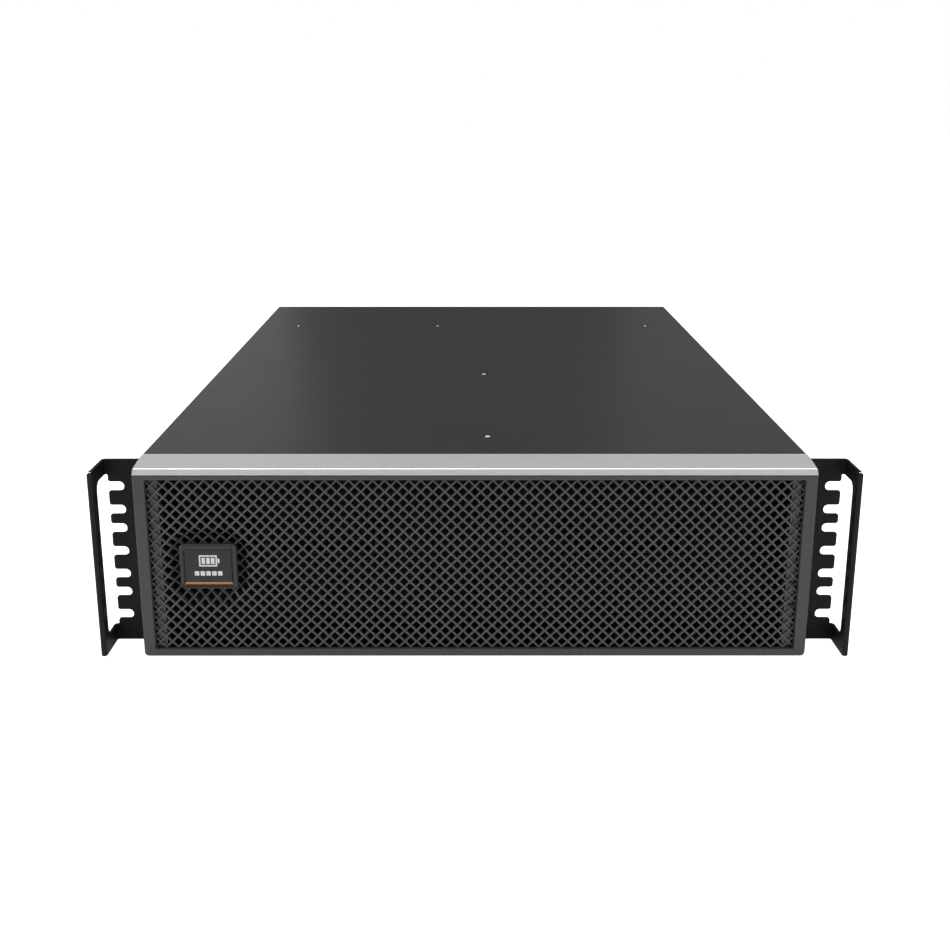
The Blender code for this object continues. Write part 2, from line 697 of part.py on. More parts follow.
def badge(carrier):
    """Badge shell with a sunk face and a snap stud behind, and its face plate."""
    half_w = BADGE_WIDTH / 2
    half_h = BADGE_HEIGHT / 2
    low = (BADGE_X - half_w, BADGE_Z - half_h)
    high = (BADGE_X + half_w, BADGE_Z + half_h)
    bm = bmesh.new()
    add_prism(bm, rounded_box(low, high, BADGE_CORNER, 3), "Y", BADGE_FRONT, BADGE_BACK)
    shell = make_node("badge_shell", bm, BADGE_PLASTIC, carrier)
    rim = 0.0021
    seat = BADGE_FRONT + 0.0014
    sunk = bmesh.new()
    sunk_low = (low[0] + rim, low[1] + rim)
    sunk_high = (high[0] - rim, high[1] - rim)
    add_prism(sunk, rounded_box(sunk_low, sunk_high, 0.0012, 2), "Y", BADGE_FRONT - 0.001, seat)
    combine(shell, sunk, "DIFFERENCE")

    face = bmesh.new()
    inset = rim + GAP
    face_low = (low[0] + inset, low[1] + inset)
    face_high = (high[0] - inset, high[1] - inset)
    face_front = BADGE_FRONT + 0.0004
    add_prism(face, rounded_box(face_low, face_high, 0.0010, 2), "Y", face_front, seat - GAP)
    make_node("badge_face", face, BADGE_FACE, carrier)

    stud = bmesh.new()
    back = GRILLE_FRONT + POCKET_DEPTH + POCKET_WALL
    centre = (BADGE_X, BADGE_Z)
    profile = ((BADGE_BACK - 0.0010, STUD_RADIUS), (back + GAP, STUD_RADIUS), (back + GAP, STUD_CLIP),
               (back + 0.0014, STUD_RADIUS * 0.8))
    add_rings(stud, [[(x, y, z) for x, z in circle(centre, radius, 16)] for y, radius in profile])
    combine(shell, stud, "UNION")


def tray_pan(side, name, carrier):
    """Open tray with low sides and tall ends."""
    x0, x1 = span(side, TRAY_NEAR, TRAY_FAR)
    t = TRAY_SHEET
    bm = bmesh.new()
    add_box(bm, (x0, FRONT, TRAY_LOW), (x1, TRAY_REAR, TRAY_END_TOP))
    node = make_node(name, bm, BARE_STEEL, carrier)
    inside = bmesh.new()
    add_box(inside, (x0 + t, FRONT + t, TRAY_LOW + t), (x1 - t, TRAY_REAR - t, TRAY_END_TOP + 0.001))
    combine(node, inside, "DIFFERENCE")
    sides = bmesh.new()
    add_box(sides, (x0 - 0.001, FRONT + TRAY_LIP, TRAY_SIDE_TOP),
            (x1 + 0.001, TRAY_REAR - TRAY_LIP, TRAY_END_TOP + 0.002))
    combine(node, sides, "DIFFERENCE")


def tray_face(side, name, carrier):
    """Front plate of a tray, with the lugs that its handle turns in."""
    x0, x1 = span(side, FACE_NEAR, FACE_FAR)
    bm = bmesh.new()
    add_box(bm, (x0, FACE_FRONT, FACE_LOW), (x1, FACE_BACK, FACE_HIGH))
    node = make_node(name, bm, STEEL_PAINT, carrier)
    lugs = bmesh.new()
    front = HANDLE_Y - LUG_HALF
    for end in (-1, 1):
        middle = side * HANDLE_X + end * (HANDLE_HALF + HANDLE_ROD + GAP + LUG_THICK / 2)
        low = (middle - LUG_THICK / 2, front, HANDLE_Z - LUG_HALF)
        add_box(lugs, low, (middle + LUG_THICK / 2, FACE_BACK - 0.0005, HANDLE_Z + LUG_HALF))
    combine(node, lugs, "UNION")
    holes = bmesh.new()
    reach = HANDLE_HALF + HANDLE_ROD + GAP + LUG_THICK + 0.001
    middle = side * HANDLE_X
    add_cylinder(holes, "X", (HANDLE_Y, HANDLE_Z), HANDLE_ROD + 0.0005, middle - reach, middle + reach)
    for z in THUMB_HEIGHTS:
        add_cylinder(holes, "Y", (side * THUMB_X, z), SCREW_HOLE, FACE_FRONT - 0.001, FACE_BACK + 0.001, 8)
    combine(node, holes, "DIFFERENCE")


def tray_handle(side, name, carrier):
    """Folding bail of round bar. It hangs down at rest."""
    middle = side * HANDLE_X
    pin = HANDLE_HALF + HANDLE_ROD + GAP + LUG_THICK
    corners = [(middle + x, HANDLE_Y, z) for x, z in (
        (-pin, HANDLE_Z), (-HANDLE_HALF, HANDLE_Z), (-HANDLE_HALF, HANDLE_Z - HANDLE_ARM),
        (HANDLE_HALF, HANDLE_Z - HANDLE_ARM), (HANDLE_HALF, HANDLE_Z), (pin, HANDLE_Z),
    )]
    bm = bmesh.new()
    add_sweep(bm, rounded_path(corners, 0.0025, 3), circle((0, 0), HANDLE_ROD, 10), (0, 1, 0))
    smooth(make_node(name, bm, ZINC, carrier), 60)


def tray_thumbscrews(side, label, carrier):
    """Two captive screws with fluted knobs on a tray's outer edge."""
    seat = FACE_FRONT - GAP
    for z, place in zip(THUMB_HEIGHTS, ("lower", "upper")):
        centre = (side * THUMB_X, z)
        knob = []
        for i in range(24):
            radius = THUMB_RADIUS if i % 2 else THUMB_RADIUS - 0.0004
            turn = 2 * math.pi * i / 24
            knob.append((centre[0] + radius * math.cos(turn), centre[1] + radius * math.sin(turn)))
        bm = bmesh.new()
        add_prism(bm, knob, "Y", seat - 0.007, seat)
        node = make_node(f"thumbscrew_{label}_{place}", bm, ZINC, carrier)
        shank = bmesh.new()
        add_cylinder(shank, "Y", centre, SCREW_SHANK, seat - 0.002, FRONT + 0.006, 8)
        combine(node, shank, "UNION")


def battery_middle(side, column, row):
    """Where a battery stands in its tray."""
    near = TRAY_NEAR + TRAY_SHEET + BATTERY_GAP
    x = near + BATTERY_WIDTH / 2 + column * (BATTERY_WIDTH + BATTERY_GAP)
    y = FRONT + TRAY_SHEET + BATTERY_GAP + BATTERY_LENGTH / 2 + row * (BATTERY_LENGTH + BATTERY_GAP)
    return side * x, y


def batteries(side, label, carrier):
    """Eight sealed blocks, each with a lid seam and two tab terminals."""
    low = TRAY_LOW + TRAY_SHEET + GAP
    top = low + BATTERY_HEIGHT
    seam = top - 0.008
    w = BATTERY_WIDTH / 2
    d = BATTERY_LENGTH / 2
    c = BATTERY_CHAMFER
    levels = (
        (low, w - c, d - c), (low + c, w, d), (seam - c, w, d), (seam, w - c, d - c),
        (seam + c, w, d), (top - c, w, d), (top, w - c, d - c),
    )
    for index, spot in enumerate(BATTERY_SPOTS):
        middle = battery_middle(side, *spot)
        bm = bmesh.new()
        add_stack(bm, middle, levels)
        node = make_node(f"battery_{label}_{index + 1}", bm, BATTERY_CASE, carrier)
        tabs = bmesh.new()
        y = middle[1] + BATTERY_LENGTH / 2 - TERMINAL_INSET
        for pole in (-1, 1):
            x = middle[0] + pole * TERMINAL_OFFSET
            low_corner = (x - TERMINAL_HALF, y - TERMINAL_LONG / 2, top - 0.001)
            add_box(tabs, low_corner, (x + TERMINAL_HALF, y + TERMINAL_LONG / 2, top + TERMINAL_HEIGHT))
        combine(node, tabs, "UNION")


def insulator(side, name, carrier):
    """Sheet that lies over the terminals on the tray's tall ends."""
    x0, x1 = span(side, TRAY_NEAR, TRAY_FAR)
    low = TRAY_END_TOP + GAP
    bm = bmesh.new()
    add_box(bm, (x0, FRONT, low), (x1, TRAY_REAR, low + 0.001))
    make_node(name, bm, FIBRE_SHEET, carrier)


def tray_plug(side, name, carrier):
    """Tray's half of the power connector: a flange with a tongue."""
    x = side * PLUG_X
    start = TRAY_REAR + GAP
    bm = bmesh.new()
    w = PLUG_HALF + SOCKET_WALL
    h = PLUG_HALF_HEIGHT + SOCKET_WALL
    add_box(bm, (x - w, start, PLUG_Z - h), (x + w, start + 0.006, PLUG_Z + h))
    node = make_node(name, bm, CONNECTOR_PLASTIC, carrier)
    tongue = bmesh.new()
    w = PLUG_HALF
    h = PLUG_HALF_HEIGHT
    add_box(tongue, (x - w, start + 0.003, PLUG_Z - h), (x + w, start + 0.016, PLUG_Z + h))
    combine(node, tongue, "UNION")


def tray_socket(side, name):
    """Fixed half of the power connector, which the tray's tongue enters."""
    x = side * PLUG_X
    w = PLUG_HALF + SOCKET_WALL
    h = PLUG_HALF_HEIGHT + SOCKET_WALL
    bm = bmesh.new()
    add_box(bm, (x - w, SOCKET_FRONT, PLUG_Z - h), (x + w, BULKHEAD_FRONT - GAP, PLUG_Z + h))
    node = make_node(name, bm, CONNECTOR_PLASTIC)
    cavity = bmesh.new()
    w = PLUG_HALF + 0.0005
    h = PLUG_HALF_HEIGHT + 0.0005
    add_box(cavity, (x - w, SOCKET_FRONT - 0.001, PLUG_Z - h), (x + w, SOCKET_FRONT + 0.012, PLUG_Z + h))
    combine(node, cavity, "DIFFERENCE")


def breaker():
    """Four-pole breaker: its body, and a ganged toggle on an axle across the nose."""
    bm = bmesh.new()
    low = (BREAKER_X - BREAKER_HALF, BREAKER_FRONT, BREAKER_Z - BREAKER_TALL)
    add_box(bm, low, (BREAKER_X + BREAKER_HALF, REAR - 0.003, BREAKER_Z + BREAKER_TALL))
    body = make_node("breaker_body", bm, BREAKER_CASE)
    nose = bmesh.new()
    low = (BREAKER_X - BREAKER_HALF, REAR - 0.010, BREAKER_Z - NOSE_TALL)
    add_box(nose, low, (BREAKER_X + BREAKER_HALF, NOSE_OUT, BREAKER_Z + NOSE_TALL))
    combine(body, nose, "UNION")
    slot = bmesh.new()
    low = (BREAKER_X - TOGGLE_HALF - 0.0005, TOGGLE_Y - 0.007, BREAKER_Z - 0.012)
    add_box(slot, low, (BREAKER_X + TOGGLE_HALF + 0.0005, NOSE_OUT + 0.001, BREAKER_Z + 0.012))
    combine(body, slot, "DIFFERENCE")

    axle = pivot("breaker_toggle_axle", (BREAKER_X, TOGGLE_Y, BREAKER_Z))
    thick = 0.0022
    hub = arc((0, 0), TOGGLE_HUB, 30, 330, 12)
    lever = hub + [(TOGGLE_REACH, -thick), (TOGGLE_REACH + 0.001, 0), (TOGGLE_REACH, thick)]
    cos, sin = math.cos(TOGGLE_START), math.sin(TOGGLE_START)
    outline = [(TOGGLE_Y + u * cos - v * sin, BREAKER_Z + u * sin + v * cos) for u, v in lever]
    toggle = bmesh.new()
    add_prism(toggle, outline, "X", BREAKER_X - TOGGLE_HALF, BREAKER_X + TOGGLE_HALF)
    make_node("breaker_toggle", toggle, TOGGLE_PLASTIC, axle)


def dc_connector(name, z):
    """Two-pole power outlet that faces the rear."""
    bm = bmesh.new()
    low = (CONNECTOR_X - CONNECTOR_HALF, CONNECTOR_FRONT, z - CONNECTOR_TALL)
    add_box(bm, low, (CONNECTOR_X + CONNECTOR_HALF, CONNECTOR_OUT, z + CONNECTOR_TALL))
    node = make_node(name, bm, CONNECTOR_PLASTIC)
    cavities = bmesh.new()
    for pole in (-1, 1):
        x = CONNECTOR_X + pole * CONTACT_OFFSET
        outline = rounded_box((x - 0.009, z - 0.0085), (x + 0.009, z + 0.0085), 0.002, 2)
        add_prism(cavities, outline, "Y", CONNECTOR_OUT - 0.014, CONNECTOR_OUT + 0.001)
    combine(node, cavities, "DIFFERENCE")


def detection_board():
    """Small circuit board on four posts, and the double data port that it carries."""
    bm = bmesh.new()
    add_box(bm, (BOARD_X[0], BOARD_Y[0], BOARD_Z), (BOARD_X[1], BOARD_Y[1], BOARD_Z + BOARD_THICK))
    board = make_node("detection_board", bm, BOARD_GREEN)
    posts = bmesh.new()
    for x in (BOARD_X[0] + 0.005, BOARD_X[1] - 0.005):
        for y in (BOARD_Y[0] + 0.005, BOARD_Y[1] - 0.012):
            add_cylinder(posts, "Z", (x, y), 0.003, FLOOR_TOP, BOARD_Z + BOARD_THICK / 2, 8)
    combine(board, posts, "UNION")

    low = BOARD_Z + BOARD_THICK + GAP
    block = bmesh.new()
    add_box(block, (PORT_BLOCK[0], REAR - 0.018, low), (PORT_BLOCK[1], REAR + 0.0005, low + PORT_TALL))
    ports = make_node("comm_ports", block, CONNECTOR_PLASTIC)
    cavities = bmesh.new()
    for x in PORT_X:
        outline = (
            (x - 0.006, low + 0.003), (x + 0.006, low + 0.003), (x + 0.006, low + 0.0095),
            (x + 0.003, low + 0.0095), (x + 0.003, low + 0.0115), (x - 0.003, low + 0.0115),
            (x - 0.003, low + 0.0095), (x - 0.006, low + 0.0095),
        )
        add_prism(cavities, outline, "Y", REAR - 0.012, REAR + 0.002)
    combine(ports, cavities, "DIFFERENCE")


def ground_stud():
    """Threaded earth stud with a nut on each side of the rear panel."""
    centre = (GROUND_X, GROUND_Z)
    bm = bmesh.new()
    add_cylinder(bm, "Y", centre, 0.0028, REAR - 0.012, REAR + 0.012, 12)
    node = make_node("ground_stud", bm, ZINC)
    nuts = bmesh.new()
    add_cylinder(nuts, "Y", centre, 0.0055, REAR, REAR + 0.004, 6)
    add_cylinder(nuts, "Y", centre, 0.0055, REAR - 0.0058, REAR - 0.0018, 6)
    combine(node, nuts, "UNION")


def add_twin_cable(bm, corners):
    """Flat cable of two cores side by side, along a path with soft bends."""
    outline = arc((CORE_OFFSET, 0), CORE_RADIUS, -150, 150, 6)
    outline += arc((-CORE_OFFSET, 0), CORE_RADIUS, 30, 330, 6)
    add_sweep(bm, rounded_path(corners, CABLE_BEND, 3), outline, (1, 0, 0))


def cables():
    """Twin cables from the tray sockets to the breaker, and on to the outlets."""
    start = BULKHEAD_FRONT + 0.0002
    end = BREAKER_FRONT - GAP
    x = BREAKER_X - POLE_SPREAD
    bend_out, bend_in = LEFT_CABLE_BENDS
    left = bmesh.new()
    add_twin_cable(left, [
        (-PLUG_X, start, PLUG_Z), (-PLUG_X, bend_out, PLUG_Z), (x, bend_in, INLET_Z), (x, end, INLET_Z),
    ])
    smooth(make_node("feed_cable_left", left, BLACK_CABLE), 60)

    x = BREAKER_X + POLE_SPREAD
    bend_out, bend_in = RIGHT_CABLE_BENDS
    right = bmesh.new()
    add_twin_cable(right, [
        (PLUG_X, start, PLUG_Z), (PLUG_X, bend_out, PLUG_Z), (PLUG_X, bend_out, RIGHT_CABLE_TOP),
        (x, bend_out, RIGHT_CABLE_TOP), (x, bend_in, INLET_Z), (x, end, INLET_Z),
    ])
    smooth(make_node("feed_cable_right", right, BLACK_CABLE), 60)

    upper, lower = CONNECTOR_HEIGHTS
    stop = CONNECTOR_FRONT - GAP
    trunk = bmesh.new()
    add_twin_cable(trunk, [
        (BREAKER_X, end, OUTLET_Z), (BREAKER_X, LOOM_Y, OUTLET_Z), (BREAKER_X, LOOM_Y, LOOM_LOW),
        (CONNECTOR_X, LOOM_Y, LOOM_LOW), (CONNECTOR_X, LOOM_Y, upper), (CONNECTOR_X, stop, upper),
    ])
    loom = make_node("outlet_loom", trunk, BLACK_CABLE)
    branch = bmesh.new()
    add_twin_cable(branch, [(CONNECTOR_X, LOOM_Y, lower), (CONNECTOR_X, stop, lower)])
    combine(loom, branch, "UNION")


def build_bezel():
    """Bezel that pulls off forwards, with its badge on a quarter turn."""
    carrier = pivot("bezel_carrier", (0, BEZEL_FRONT, CASE_HEIGHT / 2))
    bezel_frame(carrier)
    bezel_trim(carrier)
    bezel_grille(carrier)
    badge(pivot("badge_axis", (BADGE_X, BADGE_FRONT, BADGE_Z), carrier))


def build_tray(side, label):
    """One tray with all that rides on it."""
    carrier = pivot(f"tray_{label}_carrier", (side * HANDLE_X, FRONT, TRAY_LOW))
    tray_pan(side, f"tray_pan_{label}", carrier)
    tray_face(side, f"tray_face_{label}", carrier)
    tray_thumbscrews(side, label, carrier)
    batteries(side, label, carrier)
    insulator(side, f"insulator_{label}", carrier)
    tray_plug(side, f"tray_plug_{label}", carrier)
    hinge = pivot(f"handle_{label}_axis", (side * HANDLE_X, HANDLE_Y, HANDLE_Z), carrier)
    tray_handle(side, f"tray_handle_{label}", hinge)


for leftover in list(bpy.data.objects):
    bpy.data.objects.remove(leftover)

STEEL_PAINT = material("steel_paint", (0.045, 0.045, 0.047), 0.55, 0.2)
COVER_PAINT = material("cover_paint", (0.065, 0.065, 0.067), 0.5, 0.2)
EAR_PAINT = material("ear_paint", (0.012, 0.012, 0.013), 0.45, 0.2)
BARE_STEEL = material("bare_steel", (0.45, 0.46, 0.47), 0.4, 1.0)
ZINC = material("zinc", (0.55, 0.56, 0.58), 0.3, 1.0)
BEZEL_PLASTIC = material("bezel_plastic", (0.065, 0.065, 0.067), 0.5)
GRILLE_PLASTIC = material("grille_plastic", (0.06, 0.06, 0.062), 0.5)
SILVER = material("silver_paint", (0.45, 0.45, 0.46), 0.35, 0.6)
BADGE_PLASTIC = material("badge_plastic", (0.04, 0.04, 0.04), 0.35)
BADGE_FACE = material("badge_face", (0.045, 0.045, 0.046), 0.3)
BATTERY_CASE = material("battery_case", (0.05, 0.06, 0.075), 0.55)
FIBRE_SHEET = material("fibre_sheet", (0.30, 0.32, 0.28), 0.7)
CONNECTOR_PLASTIC = material("connector_plastic", (0.03, 0.03, 0.032), 0.5)
BREAKER_CASE = material("breaker_case", (0.25, 0.25, 0.26), 0.55)
TOGGLE_PLASTIC = material("toggle_plastic", (0.02, 0.02, 0.02), 0.45)
BOARD_GREEN = material("board_green", (0.02, 0.12, 0.05), 0.5)
BLACK_CABLE = material("black_cable", (0.02, 0.02, 0.02), 0.5)

base_pan()
top_cover()
cover_screws()
front_frame()
centre_partition()
rear_bulkhead()
rear_panel()
rack_ear(-1, "rack_ear_left")
rack_ear(1, "rack_ear_right")
tray_socket(-1, "tray_socket_left")
tray_socket(1, "tray_socket_right")
breaker()
dc_connector("dc_connector_upper", CONNECTOR_HEIGHTS[0])
dc_connector("dc_connector_lower", CONNECTOR_HEIGHTS[1])
detection_board()
ground_stud()
cables()
build_bezel()
build_tray(-1, "left")
build_tray(1, "right")
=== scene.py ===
import math

import bmesh
import bpy
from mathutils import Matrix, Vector


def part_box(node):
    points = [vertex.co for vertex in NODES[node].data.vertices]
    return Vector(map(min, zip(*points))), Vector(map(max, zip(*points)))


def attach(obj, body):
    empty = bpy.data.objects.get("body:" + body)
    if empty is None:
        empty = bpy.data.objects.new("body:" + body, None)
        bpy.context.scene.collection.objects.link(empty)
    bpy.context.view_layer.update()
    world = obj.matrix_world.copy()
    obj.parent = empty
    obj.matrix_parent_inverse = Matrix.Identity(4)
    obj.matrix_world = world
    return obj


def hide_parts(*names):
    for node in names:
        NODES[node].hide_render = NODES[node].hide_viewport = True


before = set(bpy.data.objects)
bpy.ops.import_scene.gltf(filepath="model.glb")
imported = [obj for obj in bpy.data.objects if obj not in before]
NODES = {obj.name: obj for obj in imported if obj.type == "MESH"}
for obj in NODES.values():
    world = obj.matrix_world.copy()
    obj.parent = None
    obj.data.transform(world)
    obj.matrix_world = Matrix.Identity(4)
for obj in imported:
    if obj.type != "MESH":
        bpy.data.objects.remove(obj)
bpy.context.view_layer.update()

MM = 0.001
SIDES = ((-1, "left"), (1, "right"))


def middle_of(name):
    """The middle of a node's box."""
    return [(low + high) / 2 for low, high in zip(*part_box(name))]


# Places read from the frame
TRIM_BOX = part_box("bezel_trim")
HALF = TRIM_BOX[1].x
BEZEL_FRONT = TRIM_BOX[0].y
BEZEL_BACK = TRIM_BOX[1].y
CASE_TOP = TRIM_BOX[1].z
TRIM_LOW = TRIM_BOX[0].z
FRAME_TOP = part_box("bezel_frame")[1].z
GRILLE_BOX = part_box("bezel_grille")
GRILLE_HALF = GRILLE_BOX[1].x
GRILLE_FRONT = GRILLE_BOX[0].y
BADGE_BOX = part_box("badge_shell")
BADGE_X, _, BADGE_Z = middle_of("badge_shell")
BADGE_FRONT = BADGE_BOX[0].y
BADGE_BACK = BADGE_FRONT + 4.0 * MM
COVER_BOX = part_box("top_cover")
CASE_FRONT = COVER_BOX[0].y
CASE_REAR = COVER_BOX[1].y
EAR_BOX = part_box("rack_ear_right")

LID_SCREWS = [f"cover_screw_{i}" for i in range(1, 6)]
OUTLETS = ("dc_connector_upper", "dc_connector_lower")

# Sizes of the fine shapes
SHEET = 1.2 * MM
FRAME_GAP = 0.3 * MM
SIDE_BAR = HALF - GRILLE_HALF - FRAME_GAP
BOTTOM_BAR = GRILLE_BOX[0].z - FRAME_GAP
OPENING_TOP = GRILLE_BOX[1].z - FRAME_GAP
LEDGE_INSIDE = 200.2 * MM
LEDGE_OUTSIDE = 206.15 * MM
LEDGE_DEPTH = 4.6 * MM
LEDGE_GROOVE = 14.0 * MM
LATTICE_PITCH_X = 7.58 * MM
LATTICE_PITCH_Z = 7.553 * MM
LATTICE_FIRST = 5.10 * MM
LATTICE_BAR = 1.30 * MM
LATTICE_DEPTH = 2.0 * MM
BAR_PROFILE = ((0.0, 0.0), (0.46, 0.03), (0.80, 0.15), (1.0, 0.45))
POCKET_HALF = (26 * MM, 25 * MM)
POCKET_DEPTH = 4.4 * MM
POCKET_BAND = 0.18
STUD_CLEARANCE = 5.4 * MM
CUT_EDGE_LOW = TRIM_LOW + 4.12 * MM
CUT_EDGE_RISE = 0.27 * MM
CUT_EDGE_RUN = 0.36 * MM
BADGE_RIM = 3.2 * MM
PLATE_FRONT = BADGE_FRONT + 0.45 * MM

# Patterns that every surface shares
DRIFTS_PER_METRE = 14.0
SMUDGES_PER_METRE = 38.0
# Pointiness range over which edges turn paler: partly wear, partly a painted highlight on rounded edges.
WORN_AND_LIT_POINTINESS = (0.515, 0.62)


def grey(level, tint=(1.0, 1.0, 1.0)):
    """A linear colour from a display grey level of 0 to 255."""
    share = level / 255
    linear = share / 12.92 if share <= 0.04045 else ((share + 0.055) / 1.055) ** 2.4
    return tuple(linear * t for t in tint) + (1.0,)


# ---- materials

LOOKS = {}  # every finished material, under its name


def node(tree, kind, inputs=None, **settings):
    """Add a shader node. An input is a value, or the socket that feeds it."""
    made = tree.nodes.new("ShaderNode" + kind)
    for key, value in settings.items():
        setattr(made, key, value)
    for key, value in (inputs or {}).items():
        if isinstance(value, bpy.types.NodeSocket):
            tree.links.new(value, made.inputs[key])
        else:
            made.inputs[key].default_value = value
    return made


def maths(tree, operation, *values):
    return node(tree, "Math", dict(enumerate(values)), operation=operation).outputs["Value"]


def away_from(tree, value, middle):
    """How far a value is from a middle, either way."""
    return maths(tree, "ABSOLUTE", maths(tree, "SUBTRACT", value, middle))


def spread(tree, value, low=0.0, high=1.0, source=(0.35, 0.65)):
    """Stretch a value from a source range to the range from low to high, clamped."""
    made = node(tree, "MapRange", {"Value": value, "From Min": source[0], "From Max": source[1],
                                   "To Min": low, "To Max": high})
    return made.outputs["Result"]


def noise(tree, place, scale, detail=3.0, roughness=0.55):
    made = node(tree, "TexNoise", {"Vector": place, "Scale": scale, "Detail": detail, "Roughness": roughness})
    return made.outputs["Fac"]


def mixed(tree, share, first, second, blend="MIX"):
    made = node(tree, "MixRGB", {"Fac": share, "Color1": first, "Color2": second}, blend_type=blend)
    return made.outputs["Color"]


def scaled(colour, by):
    return tuple(min(1.0, c * by) for c in colour[:3]) + (1.0,)


def object_place(tree):
    """Object coordinates, in metres."""
    return node(tree, "TexCoord").outputs["Object"]


def finish(name, colour, roughness, grain, relief, mottling=0.06, edge_wear_and_highlight=0.1, metallic=0.0, smudge=0.06,
           specular=0.5, coat=0.0):
    """A surface with a fine grain in relief, slow drifts of colour and gloss, and paler edges, partly edge
    wear and partly a painted highlight.
    """
    material = bpy.data.materials.new(name)
    material.use_nodes = True
    tree = material.node_tree
    shader = tree.nodes["Principled BSDF"]
    place = object_place(tree)
    tones = (scaled(colour, 1 - mottling), scaled(colour, 1 + mottling))
    drift = spread(tree, noise(tree, place, DRIFTS_PER_METRE, 4.0))
    speck = spread(tree, noise(tree, place, 1 / (grain * MM), 2.0), source=(0.3, 0.7))
    body = mixed(tree, 0.5, mixed(tree, drift, *tones), mixed(tree, speck, *tones))
    # Paler edges from pointiness: partly edge wear, partly a painted highlight where rounded edges would
    # catch the light.
    pointed = node(tree, "NewGeometry").outputs["Pointiness"]
    edges = spread(tree, pointed, 0.0, edge_wear_and_highlight, WORN_AND_LIT_POINTINESS)
    body = mixed(tree, edges, body, scaled(colour, 1.9))
    smudges = noise(tree, place, SMUDGES_PER_METRE, 5.0, 0.6)
    gloss = spread(tree, smudges, roughness - smudge, roughness + smudge)
    bump = node(tree, "Bump", {"Height": speck, "Distance": relief * MM, "Strength": 1.0})
    for key, socket in (("Base Color", body), ("Roughness", gloss), ("Normal", bump.outputs["Normal"])):
        tree.links.new(socket, shader.inputs[key])
    for key, value in (("Metallic", metallic), ("Specular IOR Level", specular), ("Coat Weight", coat)):
        shader.inputs[key].default_value = value
    material.diffuse_color = colour
    LOOKS[name] = material
    return material


def rebuild_colour(material, make):
    """Run a material's colour through one more pattern: make(tree, place, colour) gives the new colour."""
    tree = material.node_tree
    shader = tree.nodes["Principled BSDF"]
    before = shader.inputs["Base Color"].links[0].from_socket
    tree.links.new(make(tree, object_place(tree), before), shader.inputs["Base Color"])


def galvanised(name, colour):
    """Bare steel with the spangle of a zinc bath."""
    material = finish(name, colour, 0.42, 0.9, 0.004, mottling=0.05, metallic=1.0)

    def spangle(tree, place, before):
        cells = node(tree, "TexVoronoi", {"Vector": place, "Scale": 160.0}).outputs["Color"]
        tone = node(tree, "RGBToBW", {"Color": cells}).outputs["Val"]
        return mixed(tree, 1.0, before, mixed(tree, tone, grey(205), grey(255)), "MULTIPLY")

    rebuild_colour(material, spangle)


def fibre_board(name, colour):
    """Pressed fibre sheet with long soft fibres."""
    material = finish(name, colour, 0.75, 0.35, 0.03, mottling=0.1)

    def fibres(tree, place, before):
        along = node(tree, "Mapping", {"Vector": place, "Scale": (900.0, 60.0, 900.0)}).outputs["Vector"]
        strands = spread(tree, noise(tree, along, 1.0, 5.0, 0.7), 0.0, 0.35)
        return mixed(tree, strands, before, scaled(colour, 0.6))

    rebuild_colour(material, fibres)


def battery_moulding(name, colour):
    """Battery case with the seam of its welded lid near the top."""
    material = finish(name, colour, 0.5, 0.5, 0.02, edge_wear_and_highlight=0.25)
    low, high = (corner.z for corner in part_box("battery_left_1"))
    seam = low + 0.86 * (high - low)

    def lid_seam(tree, place, before):
        height = node(tree, "SeparateXYZ", {"Vector": place}).outputs["Z"]
        line = spread(tree, away_from(tree, height, seam), 0.8, 0.0, (0.2 * MM, 0.6 * MM))
        return mixed(tree, line, before, scaled(colour, 0.25))

    rebuild_colour(material, lid_seam)


def cut_edge_paint(name, colour):
    """Silver paint: the upright face darkened as painted shade, a polished line along its cut edge, and the
    rolled rear edge paler as a painted highlight.
    """
    dull, shiny = 0.35, 0.9
    material = finish(name, colour, 0.36, 0.16, 0.002, mottling=0.02, edge_wear_and_highlight=0.0, metallic=dull, smudge=0.02)
    tree = material.node_tree
    shader = tree.nodes["Principled BSDF"]
    axes = node(tree, "SeparateXYZ", {"Vector": object_place(tree)}).outputs
    away = away_from(tree, axes["Z"], CUT_EDGE_LOW + CUT_EDGE_RISE / 2)
    line = spread(tree, away, 1.0, 0.0, (CUT_EDGE_RISE * 0.46, CUT_EDGE_RISE * 0.54))
    # front masks the upright face, which is darkened below as painted shade.
    front = spread(tree, axes["Z"], 1.0, 0.0, (CUT_EDGE_LOW - 0.2 * MM, CUT_EDGE_LOW))
    # rear masks the rolled rear edge, which is made paler below as a painted highlight.
    rear = spread(tree, axes["Y"], source=(BEZEL_BACK - 3.2 * MM, BEZEL_BACK - 2.0 * MM))
    before, gloss = (shader.inputs[key].links[0].from_socket for key in ("Base Color", "Roughness"))
    colours = mixed(tree, front, before, scaled(colour, 0.87))
    colours = mixed(tree, rear, colours, scaled(colour, 1.25))
    tree.links.new(mixed(tree, line, colours, grey(245)), shader.inputs["Base Color"])
    tree.links.new(spread(tree, line, gloss, 0.3, (0.0, 1.0)), shader.inputs["Roughness"])
    tree.links.new(spread(tree, line, dull, shiny, (0.0, 1.0)), shader.inputs["Metallic"])


def circuit_board(name, colour):
    """Green board with paler tracks under its lacquer."""
    material = finish(name, colour, 0.35, 0.4, 0.01, mottling=0.08, edge_wear_and_highlight=0.25, coat=0.4)

    def tracks(tree, place, before):
        bricks = node(tree, "TexBrick", {"Vector": place, "Scale": 260.0, "Mortar Size": 0.06,
                                         "Mortar Smooth": 0.3, "Bias": 0.0}).outputs["Fac"]
        return mixed(tree, spread(tree, bricks, 0.0, 0.55, (0.2, 0.8)), before, scaled(colour, 1.9))

    rebuild_colour(material, tracks)


COOL = (0.985, 1.0, 1.02)
